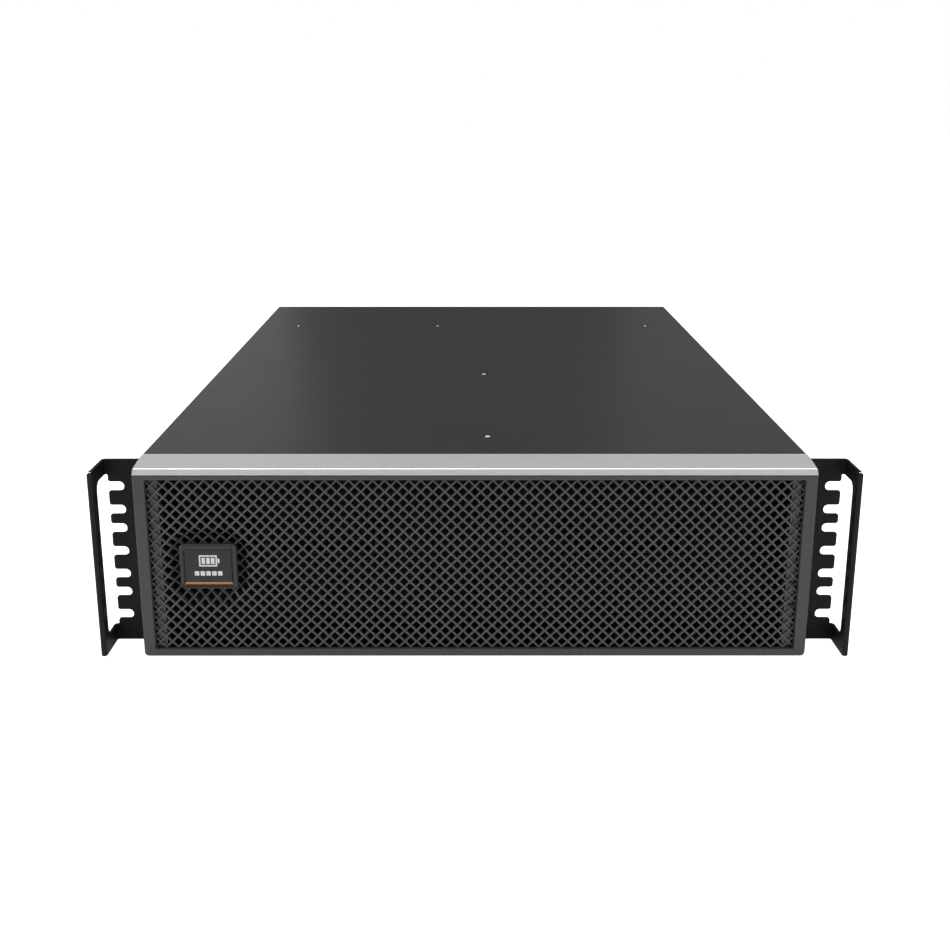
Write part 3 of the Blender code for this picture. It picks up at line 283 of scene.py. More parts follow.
# finish takes, in order: name, colour, roughness, the grain's size and its relief in millimetres.
finish("cover_paint", grey(52), 0.30, 0.45, 0.004, mottling=0.03, edge_wear_and_highlight=0.2, smudge=0.012, specular=0.35)
finish("steel_paint", grey(50), 0.45, 0.45, 0.010, mottling=0.05, edge_wear_and_highlight=0.3, specular=0.35)
# Dark paint for the front frame and tray faces, made near-black so that it also stands in as painted shade
# behind the grille.
finish("inner_paint_and_shade", grey(14), 0.6, 0.5, 0.012, mottling=0.08, edge_wear_and_highlight=0.2, specular=0.2)
finish("ear_paint", grey(23), 0.42, 0.5, 0.010, mottling=0.08, edge_wear_and_highlight=0.25, specular=0.26)
galvanised("bare_steel", grey(178, COOL))
finish("zinc", grey(205, COOL), 0.28, 0.3, 0.003, mottling=0.05, metallic=1.0)
# Near-white and not metallic: the lid screws' bright colour is a painted glint of zinc under the top light.
finish("zinc_with_painted_glint", grey(252), 0.4, 0.3, 0.002, mottling=0.02)
finish("dark_zinc", grey(38), 0.4, 0.3, 0.004, mottling=0.1, edge_wear_and_highlight=0.2, metallic=0.7)
finish("brass", (0.62, 0.42, 0.16, 1.0), 0.3, 0.3, 0.003, metallic=1.0)
# Full paler edges here: a painted highlight along the frame's rounded outer edges and lips.
finish("bezel_plastic", grey(73), 0.34, 0.35, 0.008, mottling=0.035, edge_wear_and_highlight=1.0, smudge=0.04)
finish("grille_plastic", grey(86), 0.34, 0.35, 0.006, mottling=0.04, edge_wear_and_highlight=0.0, smudge=0.04)
cut_edge_paint("silver_paint", grey(232))
# Full paler edges here: a painted highlight along the badge's rounded rims and ridges.
finish("badge_plastic", grey(46), 0.2, 0.3, 0.002, mottling=0.05, edge_wear_and_highlight=1.0, specular=0.6)
finish("badge_face", grey(43), 0.32, 0.25, 0.002, mottling=0.04, edge_wear_and_highlight=0.0)
finish("badge_orange", (0.66, 0.245, 0.06, 1.0), 0.4, 0.25, 0.002, edge_wear_and_highlight=0.0)
finish("badge_white", grey(240), 0.45, 0.25, 0.002, mottling=0.03, edge_wear_and_highlight=0.0)
battery_moulding("battery_case", grey(64, (0.95, 1.0, 1.1)))
fibre_board("fibre_sheet", grey(150, (1.0, 1.0, 0.9)))
finish("connector_plastic", grey(44), 0.45, 0.35, 0.012, edge_wear_and_highlight=0.25)
finish("breaker_case", grey(118), 0.5, 0.35, 0.012, mottling=0.04, edge_wear_and_highlight=0.15)
finish("toggle_plastic", grey(34), 0.35, 0.3, 0.006, edge_wear_and_highlight=0.3)
circuit_board("board_green", (0.02, 0.13, 0.05, 1.0))
finish("chip_plastic", grey(30), 0.4, 0.2, 0.004, mottling=0.08)
finish("black_cable", grey(30), 0.5, 0.6, 0.02, mottling=0.1)
finish("red_cable", (0.30, 0.02, 0.015, 1.0), 0.45, 0.6, 0.02, mottling=0.1)


# ---- shapes


def arc(centre, radius, start, end, steps):
    """Points on an arc, from start to end in degrees."""
    turns = [math.radians(start + (end - start) * i / steps) for i in range(steps + 1)]
    return [(centre[0] + radius * math.cos(t), centre[1] + radius * math.sin(t)) for t in turns]


def circle(centre, radius, steps):
    return arc(centre, radius, 0, 360, steps)[:-1]


def quarter(steps):
    """Sine and cosine at even steps from 0 to 90 degrees."""
    turns = [math.radians(90 * i / steps) for i in range(steps + 1)]
    return [(math.sin(turn), math.cos(turn)) for turn in turns]


def rounded_rect(low, high, foot, top=None, steps=6):
    """A rectangle's outline, with a radius for its lower corners and perhaps another for its upper ones."""
    (x0, z0), (x1, z1) = low, high
    top = foot if top is None else top
    corners = ((x1 - top, z1 - top, top), (x0 + top, z1 - top, top),
               (x0 + foot, z0 + foot, foot), (x1 - foot, z0 + foot, foot))
    return [p for i, (x, z, r) in enumerate(corners) for p in arc((x, z), r, 90 * i, 90 * i + 90, steps)]


def rounded_polygon(corners):
    """An outline from corners given as (x, y, radius)."""
    steps = 6
    points = []
    count = len(corners)
    for i, (x, y, radius) in enumerate(corners):
        here = Vector((x, y))
        before = (Vector(corners[i - 1][:2]) - here).normalized()
        after = (Vector(corners[(i + 1) % count][:2]) - here).normalized()
        half = math.acos(max(-1.0, min(1.0, before.dot(after)))) / 2
        reach = radius / math.tan(half)
        first = here + before * reach
        last = here + after * reach
        centre = here + (before + after).normalized() * (radius / math.sin(half))
        arm = first - centre
        sweep = arm.angle_signed(last - centre)
        for k in range(steps + 1):
            turn = -sweep * k / steps
            points.append((centre.x + arm.x * math.cos(turn) - arm.y * math.sin(turn),
                           centre.y + arm.x * math.sin(turn) + arm.y * math.cos(turn)))
    return points


def loft(bm, loops, caps=True, ring=False):
    """Join loops of equal count with quads. A ring joins its last loop to its first."""
    made = [[bm.verts.new(point) for point in loop] for loop in loops]
    pairs = list(zip(made, made[1:]))
    if ring:
        pairs.append((made[-1], made[0]))
    elif caps:
        bm.faces.new(made[0])
        bm.faces.new(list(reversed(made[-1])))
    for near, far in pairs:
        for k in range(len(near)):
            bm.faces.new((near[k - 1], far[k - 1], far[k], near[k]))


def slice_at(bm, place, direction, **options):
    """Cut a mesh along a plane."""
    geometry = bm.verts[:] + bm.edges[:] + bm.faces[:]
    bmesh.ops.bisect_plane(bm, geom=geometry, dist=1e-7, plane_co=place, plane_no=direction, **options)


def lofted(loops, ring=False):
    bm = bmesh.new()
    loft(bm, loops, ring=ring)
    return bm


def upright(outline, y):
    """Place an outline of (x, z) points at a depth."""
    return [(x, y, z) for x, z in outline]


def across(place, axis, outline, along):
    """An outline laid at right angles to an axis, some way along it from a place."""
    points = []
    for u, v in outline:
        offset = [u, v]
        offset.insert("XYZ".index(axis), along)
        points.append([p + q for p, q in zip(place, offset)])
    return points


def turned(bm, place, axis, profile, steps=24):
    """A closed body turned about an axis: profile holds (radius, along) from one end to the other."""
    loft(bm, [across(place, axis, circle((0, 0), max(radius, 0.02 * MM), steps), along)
              for radius, along in profile])


def filled_outline(bm, outlines):
    """A flat mesh in X and Y: the first outline, with the others as its holes."""
    edges = []
    for outline in outlines:
        ring = [bm.verts.new((x, y, 0)) for x, y in outline]
        edges += [bm.edges.new((ring[k - 1], ring[k])) for k in range(len(ring))]
    bmesh.ops.triangle_fill(bm, edges=edges, use_beauty=True)


def placed(name, data):
    """Put a new object into the scene."""
    obj = bpy.data.objects.new(name, data)
    bpy.context.scene.collection.objects.link(obj)
    return obj


def mesh_object(name, bm):
    mesh = bpy.data.meshes.new(name)
    bm.to_mesh(mesh)
    bm.free()
    return placed(name, mesh)


def soften(obj, width=0.0, angle=32, sharp=28):
    """Round an object's edges and keep its flat faces flat in the shading."""
    mesh = obj.data
    mesh.shade_smooth()
    if width:
        bevel = obj.modifiers.new("Bevel", "BEVEL")
        bevel.width = width
        bevel.segments = 2
        bevel.limit_method = "ANGLE"
        bevel.angle_limit = math.radians(angle)
        bevel.use_clamp_overlap = False
    else:
        mesh.set_sharp_from_angle(angle=math.radians(sharp))
    even = obj.modifiers.new("EvenShading", "WEIGHTED_NORMAL")
    even.keep_sharp = True
    even.weight = 100


def piece(name, bm, look, body="chassis", stands_for=None, bevel=0.0, sharp=28):
    """Turn a bmesh into a named piece that rides on a body."""
    bmesh.ops.recalc_face_normals(bm, faces=bm.faces)
    obj = mesh_object(name, bm)
    obj.data.materials.append(LOOKS[look])
    soften(obj, bevel, sharp=sharp)
    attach(obj, body)
    if stands_for:
        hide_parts(stands_for)
    return obj


def dress(name, look, bevel):
    """Give a CAD node its material, and round its edges without touching its own mesh."""
    obj = NODES[name]
    mesh = obj.data
    for attribute in ("custom_normal", "sharp_edge"):
        if attribute in mesh.attributes:
            mesh.attributes.remove(mesh.attributes[attribute])
    mesh.materials.clear()
    mesh.materials.append(LOOKS[look])
    weld = obj.modifiers.new("Weld", "WELD")
    weld.merge_threshold = 0.005 * MM
    merge = obj.modifiers.new("Merge", "DECIMATE")
    merge.decimate_type = "DISSOLVE"
    merge.angle_limit = math.radians(0.5)
    soften(obj, bevel)


# ---- bezel


def bezel_frame():
    """Moulded frame, rounded on every edge, with the side ledges behind the grille."""
    outer_round = 0.9 * MM
    lip_round = 1.0 * MM
    wall = 2.5 * MM
    bottom_corner = 2.75 * MM
    top_corner = 0.7 * MM
    ledge = BEZEL_FRONT + LEDGE_DEPTH
    soft = 0.4 * MM
    groove = BEZEL_FRONT + LEDGE_GROOVE
    shelf = groove + 1.5 * MM

    def outer(inset, y):
        low = (-HALF + inset, inset)
        high = (HALF - inset, FRAME_TOP - min(inset, 0.25 * MM))
        return upright(rounded_rect(low, high, max(bottom_corner - inset, 0.3 * MM), top_corner), y)

    def opening(outset, y, half=HALF - SIDE_BAR, low=BOTTOM_BAR, high=OPENING_TOP):
        box = ((-half - outset, low - outset), (half + outset, high + outset))
        return upright(rounded_rect(*box, 0.6 * MM + outset), y)

    loops = [outer(0, BEZEL_BACK), outer(0, BEZEL_FRONT + outer_round)]
    for sine, cosine in quarter(4)[1:]:
        loops.append(outer(outer_round * (1 - cosine), BEZEL_FRONT + outer_round * (1 - sine)))
    for sine, cosine in reversed(quarter(4)):
        loops.append(opening(lip_round * (1 - cosine), BEZEL_FRONT + lip_round * (1 - sine)))
    loops.append(opening(0, groove))
    low, high = BOTTOM_BAR + FRAME_GAP, OPENING_TOP - 2 * FRAME_GAP
    for half, y in ((LEDGE_OUTSIDE, groove), (LEDGE_OUTSIDE, ledge + soft), (LEDGE_OUTSIDE - soft, ledge),
                    (LEDGE_INSIDE + soft, ledge), (LEDGE_INSIDE, ledge + soft), (LEDGE_INSIDE, shelf)):
        loops.append(opening(0, y, half, low, high))
    hollow = rounded_rect((-HALF + wall, wall), (HALF - wall, FRAME_TOP - 0.6 * MM), 1.0 * MM)
    loops += [upright(hollow, shelf), upright(hollow, BEZEL_BACK)]
    piece("bezel_surround", lofted(loops, ring=True), "bezel_plastic", "bezel", stands_for="bezel_frame",
          sharp=50)


def bezel_hooks():
    """Snap hooks that hold the bezel to the front frame, two on each side."""
    root = HALF - 2.5 * MM + 0.3 * MM
    root_front = BEZEL_BACK - 16 * MM
    outside = 212.2 * MM
    inside = 210.8 * MM
    barb = 210.0 * MM
    catch = CASE_FRONT + 2.2 * MM
    tip = CASE_FRONT + 6 * MM
    outline = [(root, root_front), (root, BEZEL_BACK - 4 * MM), (outside, BEZEL_BACK - 3 * MM),
               (outside, tip), (barb + 1.0 * MM, tip), (barb, CASE_FRONT + 3.5 * MM), (barb, catch),
               (inside, catch), (inside, root_front)]
    for side, label in SIDES:
        for z, place in ((30 * MM, "lower"), (99 * MM, "upper")):
            loops = [[(side * x, y, h) for x, y in outline] for h in (z - 4 * MM, z + 4 * MM)]
            piece(f"bezel_hook_{label}_{place}", lofted(loops), "bezel_plastic", "bezel", bevel=0.2 * MM)


def bezel_trim():
    """Silver strip: an upright face, a cut edge, a crowned slope, a rolled rear edge and rounded ends."""
    cut_top = CUT_EDGE_LOW + CUT_EDGE_RISE
    start = BEZEL_FRONT + CUT_EDGE_RUN
    heel = 0.7 * MM
    crown = 0.3 * MM
    end_round = 0.8 * MM
    lean = 0.9 * MM
    slope = BEZEL_BACK - heel - start
    slope_steps = 12
    under = [(BEZEL_BACK, CASE_TOP - 2 * MM), (BEZEL_FRONT + 10 * MM, CASE_TOP - 4 * MM),
             (BEZEL_FRONT + 6 * MM, TRIM_LOW)]
    # Each point of the section: its place, how far it leans in at the ends, and how far its ends round
    # off to the back and downwards, as shares.
    section = [(y, z, 0.0, 0.0, 0.0) for y, z in under]
    for share in (0.0, 0.35, 0.7, 1.0):
        z = TRIM_LOW + share * (CUT_EDGE_LOW - TRIM_LOW)
        section.append((BEZEL_FRONT, z, lean * 0.8 * share, 1.0, 0.0))
    section.append((start, cut_top, lean, 0.3, 0.9))
    for i in range(1, slope_steps + 1):
        t = i / slope_steps
        rise = cut_top + t * (CASE_TOP - cut_top) + crown * 4 * t * (1 - t)
        section.append((start + t * slope, min(rise, CASE_TOP), lean * (1 - t) ** 1.2, 0.0, 1.0))
    section += [(y, z, 0.0, 0.0, 1.0) for y, z in arc((BEZEL_BACK - heel, CASE_TOP - heel), heel, 68, 0, 3)]
    ends = [(end_round * (1 - sine), end_round * (1 - cosine)) for sine, cosine in reversed(quarter(6))]
    loops = []
    for side, stations in ((-1, ends), (1, ends[::-1])):
        for inward, drop in stations:
            loops.append([(side * (HALF - inset - inward), y + back * drop, z - down * drop)
                          for y, z, inset, back, down in section])
    piece("bezel_silver_trim", lofted(loops), "silver_paint", "bezel", stands_for="bezel_trim", sharp=25)


def pocket_depth(x, z, outward=0.0):
    """How far the lattice is pressed back around the badge."""
    u = abs(x - BADGE_X) / POCKET_HALF[0]
    v = abs(z - BADGE_Z) / POCKET_HALF[1]
    reach = max(u, v, (u + v) / 1.55)
    share = min(max((1.0 + outward - reach) / POCKET_BAND, 0.0), 1.0)
    return POCKET_DEPTH * share * share * (3 - 2 * share)


def bezel_lattice():
    """Lattice of crossed bars with rounded fronts, cell by cell, pressed back around the badge."""
    half_x = LATTICE_PITCH_X / 2
    half_z = LATTICE_PITCH_Z / 2
    bar = LATTICE_BAR / math.sqrt(2)
    top = GRILLE_BOX[1].z
    front = GRILLE_FRONT
    back = GRILLE_FRONT + LATTICE_DEPTH
    bm = bmesh.new()
    known = {}

    def vertex(x, z, y):
        key = (round(x * 1e6), round(z * 1e6), round(y * 1e7))
        if key not in known:
            outward = POCKET_BAND if y == back else 0.0
            known[key] = bm.verts.new((x, y + pocket_depth(x, z, outward), z))
        return known[key]

    def at_stud(x, z):
        return abs(x - BADGE_X) + abs(z - BADGE_Z) < half_x + STUD_CLEARANCE

    def strip(rows, closed=False):
        for near, far in zip(rows, rows[1:]):
            for k in range(0 if closed else 1, len(near)):
                bm.faces.new((near[k - 1], far[k - 1], far[k], near[k]))

    def half_bars(corners, closed):
        """The half bars on one side of corners, given as (x, z, inward x, inward z)."""
        levels = [(bar * inset, front + depth * MM) for inset, depth in BAR_PROFILE]
        strip([[vertex(x + u * inset, z + v * inset, y) for x, z, u, v in corners]
               for inset, y in (*levels, (bar, back), (0, back))], closed)

    columns = int(GRILLE_HALF / half_x) + 2
    rows_up = int(top / half_z) + 2
    for i in range(-columns, columns + 1):
        for k in range(rows_up):
            x = i * half_x
            z = LATTICE_FIRST + k * half_z
            if (i + k) % 2 or z - half_z > top:
                continue
            if k == 0:
                half_bars(((x - half_x, z, 0, -1), (x, z + half_z, 0, -1), (x + half_x, z, 0, -1)), False)
            elif at_stud(x, z):
                corners = ((x - half_x, z), (x, z + half_z), (x + half_x, z), (x, z - half_z))
                for a, b in zip(corners, corners[1:] + corners[:1]):
                    if not at_stud(a[0] + b[0] - x, a[1] + b[1] - z):
                        strip([[vertex(*end, y) for end in (a, b)] for y in (front, back)])
            else:
                half_bars(((x - half_x, z, 1, 0), (x, z + half_z, 0, -1), (x + half_x, z, -1, 0),
                           (x, z - half_z, 0, 1)), True)
    for place, direction in (((GRILLE_HALF, 0, 0), (1, 0, 0)), ((-GRILLE_HALF, 0, 0), (-1, 0, 0)),
                             ((0, 0, top), (0, 0, 1)), ((0, 0, BOTTOM_BAR + 0.05 * MM), (0, 0, -1))):
        slice_at(bm, place, direction, clear_outer=True)
        bmesh.ops.holes_fill(bm, edges=[edge for edge in bm.edges if edge.is_boundary], sides=0)
    piece("bezel_lattice", bm, "grille_plastic", "bezel", stands_for="bezel_grille", sharp=35)


def badge_boss():
    """Moulded ring behind the badge that its stud snaps through."""
    near = GRILLE_FRONT + LATTICE_DEPTH + POCKET_DEPTH - 0.3 * MM
    far = BADGE_BOX[1].y - 1.75 * MM
    rings = ((13 * MM, near), (13 * MM, far - 0.3 * MM), (12.7 * MM, far), (3.9 * MM, far),
             (3.6 * MM, far - 0.3 * MM), (3.6 * MM, near))
    loops = [across((BADGE_X, 0, BADGE_Z), "Y", circle((0, 0), radius, 40), y) for radius, y in rings]
    piece("badge_boss", lofted(loops, ring=True), "grille_plastic", "bezel")


# ---- badge


def badge_outline(inset, y, radius):
    """The badge's rounded rectangle at a depth, made smaller by an inset."""
    low, high = BADGE_BOX
    box = ((low.x + inset, low.z + inset), (high.x - inset, high.z - inset))
    return upright(rounded_rect(*box, max(radius, 0.4 * MM), steps=8), y)


def badge_body():
    """Shell with a rounded front edge, a groove and a ridge round its sunk face."""
    corner = 3.0 * MM
    rounding = 1.3 * MM
    chamfer = 0.8 * MM
    loops = [badge_outline(chamfer, BADGE_BACK, corner), badge_outline(0, BADGE_BACK - chamfer, corner),
             badge_outline(0, BADGE_FRONT + rounding, corner)]
    for sine, cosine in quarter(5)[1:]:
        inset = rounding * (1 - cosine)
        loops.append(badge_outline(inset, BADGE_FRONT + rounding * (1 - sine), corner - inset))
    groove = ((1.6, 0.08), (2.0, 0.4), (2.45, 0.4))
    ridge = ((2.75, 0.06), (3.0, 0.06), (3.2, 0.3), (3.2, 1.3))
    for inset, depth in groove + ridge:
        loops.append(badge_outline(inset * MM, BADGE_FRONT + depth * MM, 1.2 * MM))
    piece("badge_body", lofted(loops), "badge_plastic", "badge", stands_for="badge_shell", sharp=40)


def badge_stud():
    """Stud that snaps through the boss, with a lip at its end."""
    end = BADGE_BOX[1].y
    bm = bmesh.new()
    turned(bm, (BADGE_X, 0, BADGE_Z), "Y", (
        (3.0 * MM, BADGE_BACK - 0.2 * MM), (3.0 * MM, end - 1.5 * MM), (4.2 * MM, end - 1.3 * MM),
        (4.2 * MM, end - 1.0 * MM), (2.6 * MM, end - 0.1 * MM)))
    piece("badge_stud", bm, "badge_plastic", "badge")


def badge_plate():
    """Slightly crowned plate inside the shell's rim."""
    gap = 0.12 * MM
    crown = 0.12 * MM
    levels = ((0, 1.1 * MM), (0, 0.25 * MM), (0.25 * MM, 0.0), (4 * MM, -0.6 * crown), (9 * MM, -0.9 * crown))
    loops = [badge_outline(BADGE_RIM + gap + inset, PLATE_FRONT + depth, 1.0 * MM - inset)
             for inset, depth in levels]
    piece("badge_plate", lofted(loops), "badge_face", "badge", stands_for="badge_face", sharp=40)


def print_on_badge(name, boxes, look, steps):
    """Thin raised boxes on the badge's plate, given as (low, high, corner radius)."""
    y = PLATE_FRONT - 0.16 * MM
    bm = bmesh.new()
    for low, high, radius in boxes:
        points = rounded_rect(low, high, radius, steps=steps)
        x, z = ((a + b) / 2 for a, b in zip(low, high))
        inner = [(x + (u - x) * 0.96, z + (v - z) * 0.96) for u, v in points]
        loft(bm, [upright(points, y + 0.3 * MM), upright(points, y + 0.04 * MM), upright(inner, y)])
    piece(name, bm, look, "badge")


def badge_bar():
    """Orange bar along the foot of the plate."""
    half = (BADGE_BOX[1].x - BADGE_BOX[0].x) / 2 - BADGE_RIM - 0.15 * MM
    thick = 0.65 * MM
    z = BADGE_BOX[0].z + 4.0 * MM
    box = ((BADGE_X - half, z - thick), (BADGE_X + half, z + thick), 0.3 * MM)
    print_on_badge("badge_bar", [box], "badge_orange", 3)


def badge_sign():
    """A plain battery sign with three cells, over a row of five blocks."""
    length, height, line, gap = 11.6 * MM, 7.6 * MM, 1.0 * MM, 0.7 * MM
    z = BADGE_Z + 4.0 * MM
    x0, x1 = BADGE_X - length / 2, BADGE_X + length / 2
    z0, z1 = z - height / 2, z + height / 2
    top, foot = ((x0, z1 - line), (x1, z1)), ((x0, z0), (x1, z0 + line))
    ends = [((x, z0 + line), (x + line, z1 - line)) for x in (x0, x1 - line)]
    pole = ((x1 + 0.3 * MM, z - 1.5 * MM), (x1 + 1.5 * MM, z + 1.5 * MM))
    boxes = [(*box, 0.1 * MM) for box in (top, foot, *ends, pole)]
    cell = (length - 2 * line - gap) / 3
    for i in range(3):
        x = x0 + line + gap + i * cell
        boxes.append(((x, z0 + line + gap), (x + cell - gap, z1 - line - gap), 0.2 * MM))
    for i in range(5):
        x = BADGE_X - 8.9 * MM + i * 3.7 * MM
        boxes.append(((x, BADGE_Z - 6.0 * MM), (x + 2.9 * MM, BADGE_Z - 3.0 * MM), 0.3 * MM))
    print_on_badge("badge_sign", boxes, "badge_white", 2)


# ---- ears

EAR_SHEET = 1.94 * MM
EAR_HALF = 1.0 * MM
EAR_BEND = 2.0 * MM
EAR_FLANGE_END = EAR_BOX[1].y
EAR_FACE = CASE_FRONT - EAR_HALF
EAR_TOP = EAR_BOX[1].z
EAR_SCREW_Y = CASE_FRONT + 18 * MM
EAR_SCREW_HEIGHTS = (20 * MM, 62.8 * MM, 108 * MM)
TOOTH_TIP = 238.0 * MM
SLOT_END = 227.7 * MM
SLOT_RADIUS = 3.1 * MM
SLOT_MIDDLE = 62.8 * MM
HOLE_PITCH = 15.875 * MM
UNIT = 44.45 * MM
WINDOW = (11.0 * MM, 115.2 * MM)
WINDOW_CORNER = 6.0 * MM
GRIP_X = EAR_BOX[1].x - 4.0 * MM + EAR_HALF
GRIP_FRONT = EAR_BOX[0].y
# Depths behind the grip's front: its fold, the end of its notch, its hem and its strip
FOLD_DEPTH = 2.0 * MM
NOTCH_DEPTH = 4.2 * MM
HEM_DEPTH = 6.5 * MM
GRIP_DEPTH = 8.9 * MM
HEM_TOP = 123.0 * MM
HEM_NOTCH = 1.6 * MM


def ear_path():
    """The sheet's middle line seen from above, as points of (length so far, x, y, direction)."""
    x_side = EAR_BOX[0].x + EAR_HALF
    r = EAR_BEND
    points = [(x_side, EAR_FLANGE_END)]
    points += arc((x_side + r, EAR_FACE + r), r, 180, 270, 8)
    points += arc((GRIP_X - r, EAR_FACE - r), r, 90, 0, 8)
    points += arc((GRIP_X + EAR_HALF, GRIP_FRONT + FOLD_DEPTH), EAR_HALF, 180, 360, 10)
    points.append((GRIP_X + 2 * EAR_HALF, GRIP_FRONT + HEM_DEPTH))
    stations = []
    length = 0.0
    for i, (x, y) in enumerate(points):
        if i:
            length += math.dist(points[i - 1], (x, y))
        ahead = points[min(i + 1, len(points) - 1)]
        behind = points[max(i - 1, 0)]
        along = Vector((ahead[0] - behind[0], ahead[1] - behind[1])).normalized()
        stations.append((length, x, y, along))
    return stations


def ear_outlines(stations):
    """The flat sheet's outline, then its holes: the toothed window and the screw holes."""
    total = stations[-1][0]
    tip = ear_length_at(stations, 1, TOOTH_TIP, EAR_FACE)
    slot_end = ear_length_at(stations, 1, SLOT_END, EAR_FACE)
    strip, notch_end, fold = (ear_length_at(stations, 2, GRIP_FRONT + depth, GRIP_X)
                              for depth in (GRIP_DEPTH, NOTCH_DEPTH, FOLD_DEPTH))
    arm_end = fold + 1.7 * MM
    flange_corner = 4.0 * MM
    outer = rounded_polygon([
        (0, 0, flange_corner), (total, 0, 1.2 * MM), (total, HEM_TOP, 1.6 * MM),
        (notch_end, HEM_TOP, 0.5 * MM), (notch_end, HEM_TOP + HEM_NOTCH, 0.5 * MM),
        (arm_end, HEM_TOP + HEM_NOTCH, 0.2 * MM), (arm_end, EAR_TOP, 0.4 * MM), (0, EAR_TOP, flange_corner)])
    offsets = {sign * value for value in (0, HOLE_PITCH, UNIT - HOLE_PITCH, UNIT) for sign in (-1, 1)}
    tooth = 1.6 * MM
    slot_corner = SLOT_RADIUS * 0.98
    window = [(tip, WINDOW[0], 0.8 * MM), (strip, WINDOW[0], WINDOW_CORNER),
              (strip, WINDOW[1], WINDOW_CORNER), (tip, WINDOW[1], 0.8 * MM)]
    for offset in sorted(offsets, reverse=True):
        low, high = SLOT_MIDDLE + offset - SLOT_RADIUS, SLOT_MIDDLE + offset + SLOT_RADIUS
        window += [(tip, high, tooth), (slot_end, high, slot_corner), (slot_end, low, slot_corner),
                   (tip, low, tooth)]
    screw_at = EAR_FLANGE_END - EAR_SCREW_Y
    return [outer, rounded_polygon(window)] + [circle((screw_at, z), 1.8 * MM, 20) for z in EAR_SCREW_HEIGHTS]


def ear_length_at(stations, coordinate, value, fixed):
    """The developed length where a straight stretch at a fixed other coordinate reaches a value."""
    other = 3 - coordinate
    for near, far in zip(stations, stations[1:]):
        straight = abs(near[other] - fixed) < 1e-6 and abs(far[other] - fixed) < 1e-6
        if straight and far[coordinate] != near[coordinate]:
            share = (value - near[coordinate]) / (far[coordinate] - near[coordinate])
            if 0 <= share <= 1:
                return near[0] + share * (far[0] - near[0])
    raise ValueError("the ear's path doesn't reach that place")


def shrunk(outline, inset):
    """An outline moved towards its inside, or away from it for a negative inset."""
    count = len(outline)
    area = sum(outline[i - 1][0] * outline[i][1] - outline[i][0] * outline[i - 1][1] for i in range(count))
    turn = 1 if area > 0 else -1
    moved = []
    for i, (x, y) in enumerate(outline):
        before = Vector((x, y)) - Vector(outline[i - 1])
        after = Vector(outline[(i + 1) % count]) - Vector((x, y))
        inward = Vector((0.0, 0.0))
        for side in (before, after):
            if side.length > 1e-9:
                inward += Vector((-side.y, side.x)).normalized() * turn
        inward.normalize()
        moved.append((x + inward.x * inset, y + inward.y * inset))
    return moved


def rack_ear(side, label):
    """Ear of one folded sheet, cut flat with softened edges and then bent."""
    soft = 0.25 * MM
    stations = ear_path()
    outer, *holes = ear_outlines(stations)
    rims = [(outer, shrunk(outer, soft))] + [(hole, shrunk(hole, -soft)) for hole in holes]
    bm = bmesh.new()
    filled_outline(bm, [inner for _, inner in rims])
    for rim in rims:
        loft(bm, [[(x, y, 0) for x, y in outline] for outline in rim], caps=False)
    bmesh.ops.remove_doubles(bm, verts=bm.verts[:], dist=1e-7)
    for length, *_ in stations[1:-1]:
        slice_at(bm, (length, 0, 0), (1, 0, 0))
    rim_edges = [tuple(edge.verts) for edge in bm.edges if edge.is_boundary]
    rim_verts = {vertex for edge in rim_edges for vertex in edge}

    sheet = bmesh.new()
    sides = {}
    for layer in (-1, 1):
        for vertex in bm.verts:
            half = EAR_SHEET / 2 - (soft if vertex in rim_verts else 0.0)
            x, y = bent(stations, vertex.co.x, layer * half)
            sides[vertex, layer] = sheet.verts.new((side * x, y, vertex.co.y))
    for face in bm.faces:
        for layer in (-1, 1):
            sheet.faces.new([sides[vertex, layer] for vertex in face.verts])
    for a, b in rim_edges:
        sheet.faces.new((sides[a, -1], sides[b, -1], sides[b, 1], sides[a, 1]))
    bm.free()
    piece(f"ear_{label}", sheet, "ear_paint", stands_for=f"rack_ear_{label}", sharp=60)


def bent(stations, length, offset):
    """Where a point of the flat sheet goes when it is bent: its X and Y."""
    for near, far in zip(stations, stations[1:]):
        if length <= far[0] + 1e-9:
            share = (length - near[0]) / (far[0] - near[0])
            along = (near[3] * (1 - share) + far[3] * share).normalized()
            return (near[1] + share * (far[1] - near[1]) - along.y * offset,
                    near[2] + share * (far[2] - near[2]) + along.x * offset)
    raise ValueError("the ear's sheet ends before that length")


# ---- case


def lid():
    """Folded lid with soft bends, dimpled round each of its screws."""
    r = 1.5 * MM
    inner = r - SHEET
    low = COVER_BOX[0].z
    top = COVER_BOX[1].z
    w = COVER_BOX[1].x
    outline = [(w, low)] + arc((w - r, top - r), r, 0, 90, 8) + arc((-w + r, top - r), r, 90, 180, 8)
    outline += [(-w, low), (-w + SHEET, low)]
    outline += arc((-w + r, top - r), inner, 180, 90, 3) + arc((w - r, top - r), inner, 90, 0, 3)
    outline.append((w - SHEET, low))
    sheet = lofted([upright(outline, y) for y in (CASE_FRONT, CASE_REAR)])
    obj = piece("lid", sheet, "cover_paint", stands_for="top_cover")
    cutters = bmesh.new()
    dimple = ((1.6 * MM, -2.0 * MM), (1.6 * MM, -1.0 * MM), (2.2 * MM, -1.0 * MM), (4.3 * MM, 0.02 * MM),
              (4.3 * MM, 1.0 * MM))
    for name in LID_SCREWS:
        x, y, _ = middle_of(name)
        turned(cutters, (x, y, top), "Z", dimple, 32)
    for side, _ in SIDES:
        for y, z in SIDE_SCREWS:
            turned(cutters, (side * w, y, z), "X", ((1.8 * MM, -3 * MM), (1.8 * MM, 3 * MM)), 20)
    cut(obj, cutters)
    soften(obj, 0.2 * MM, angle=50)


SIDE_SCREWS = [(EAR_SCREW_Y, z) for z in EAR_SCREW_HEIGHTS]
SIDE_SCREWS += [(CASE_REAR - 9 * MM, z) for z in (45 * MM, 110 * MM)]


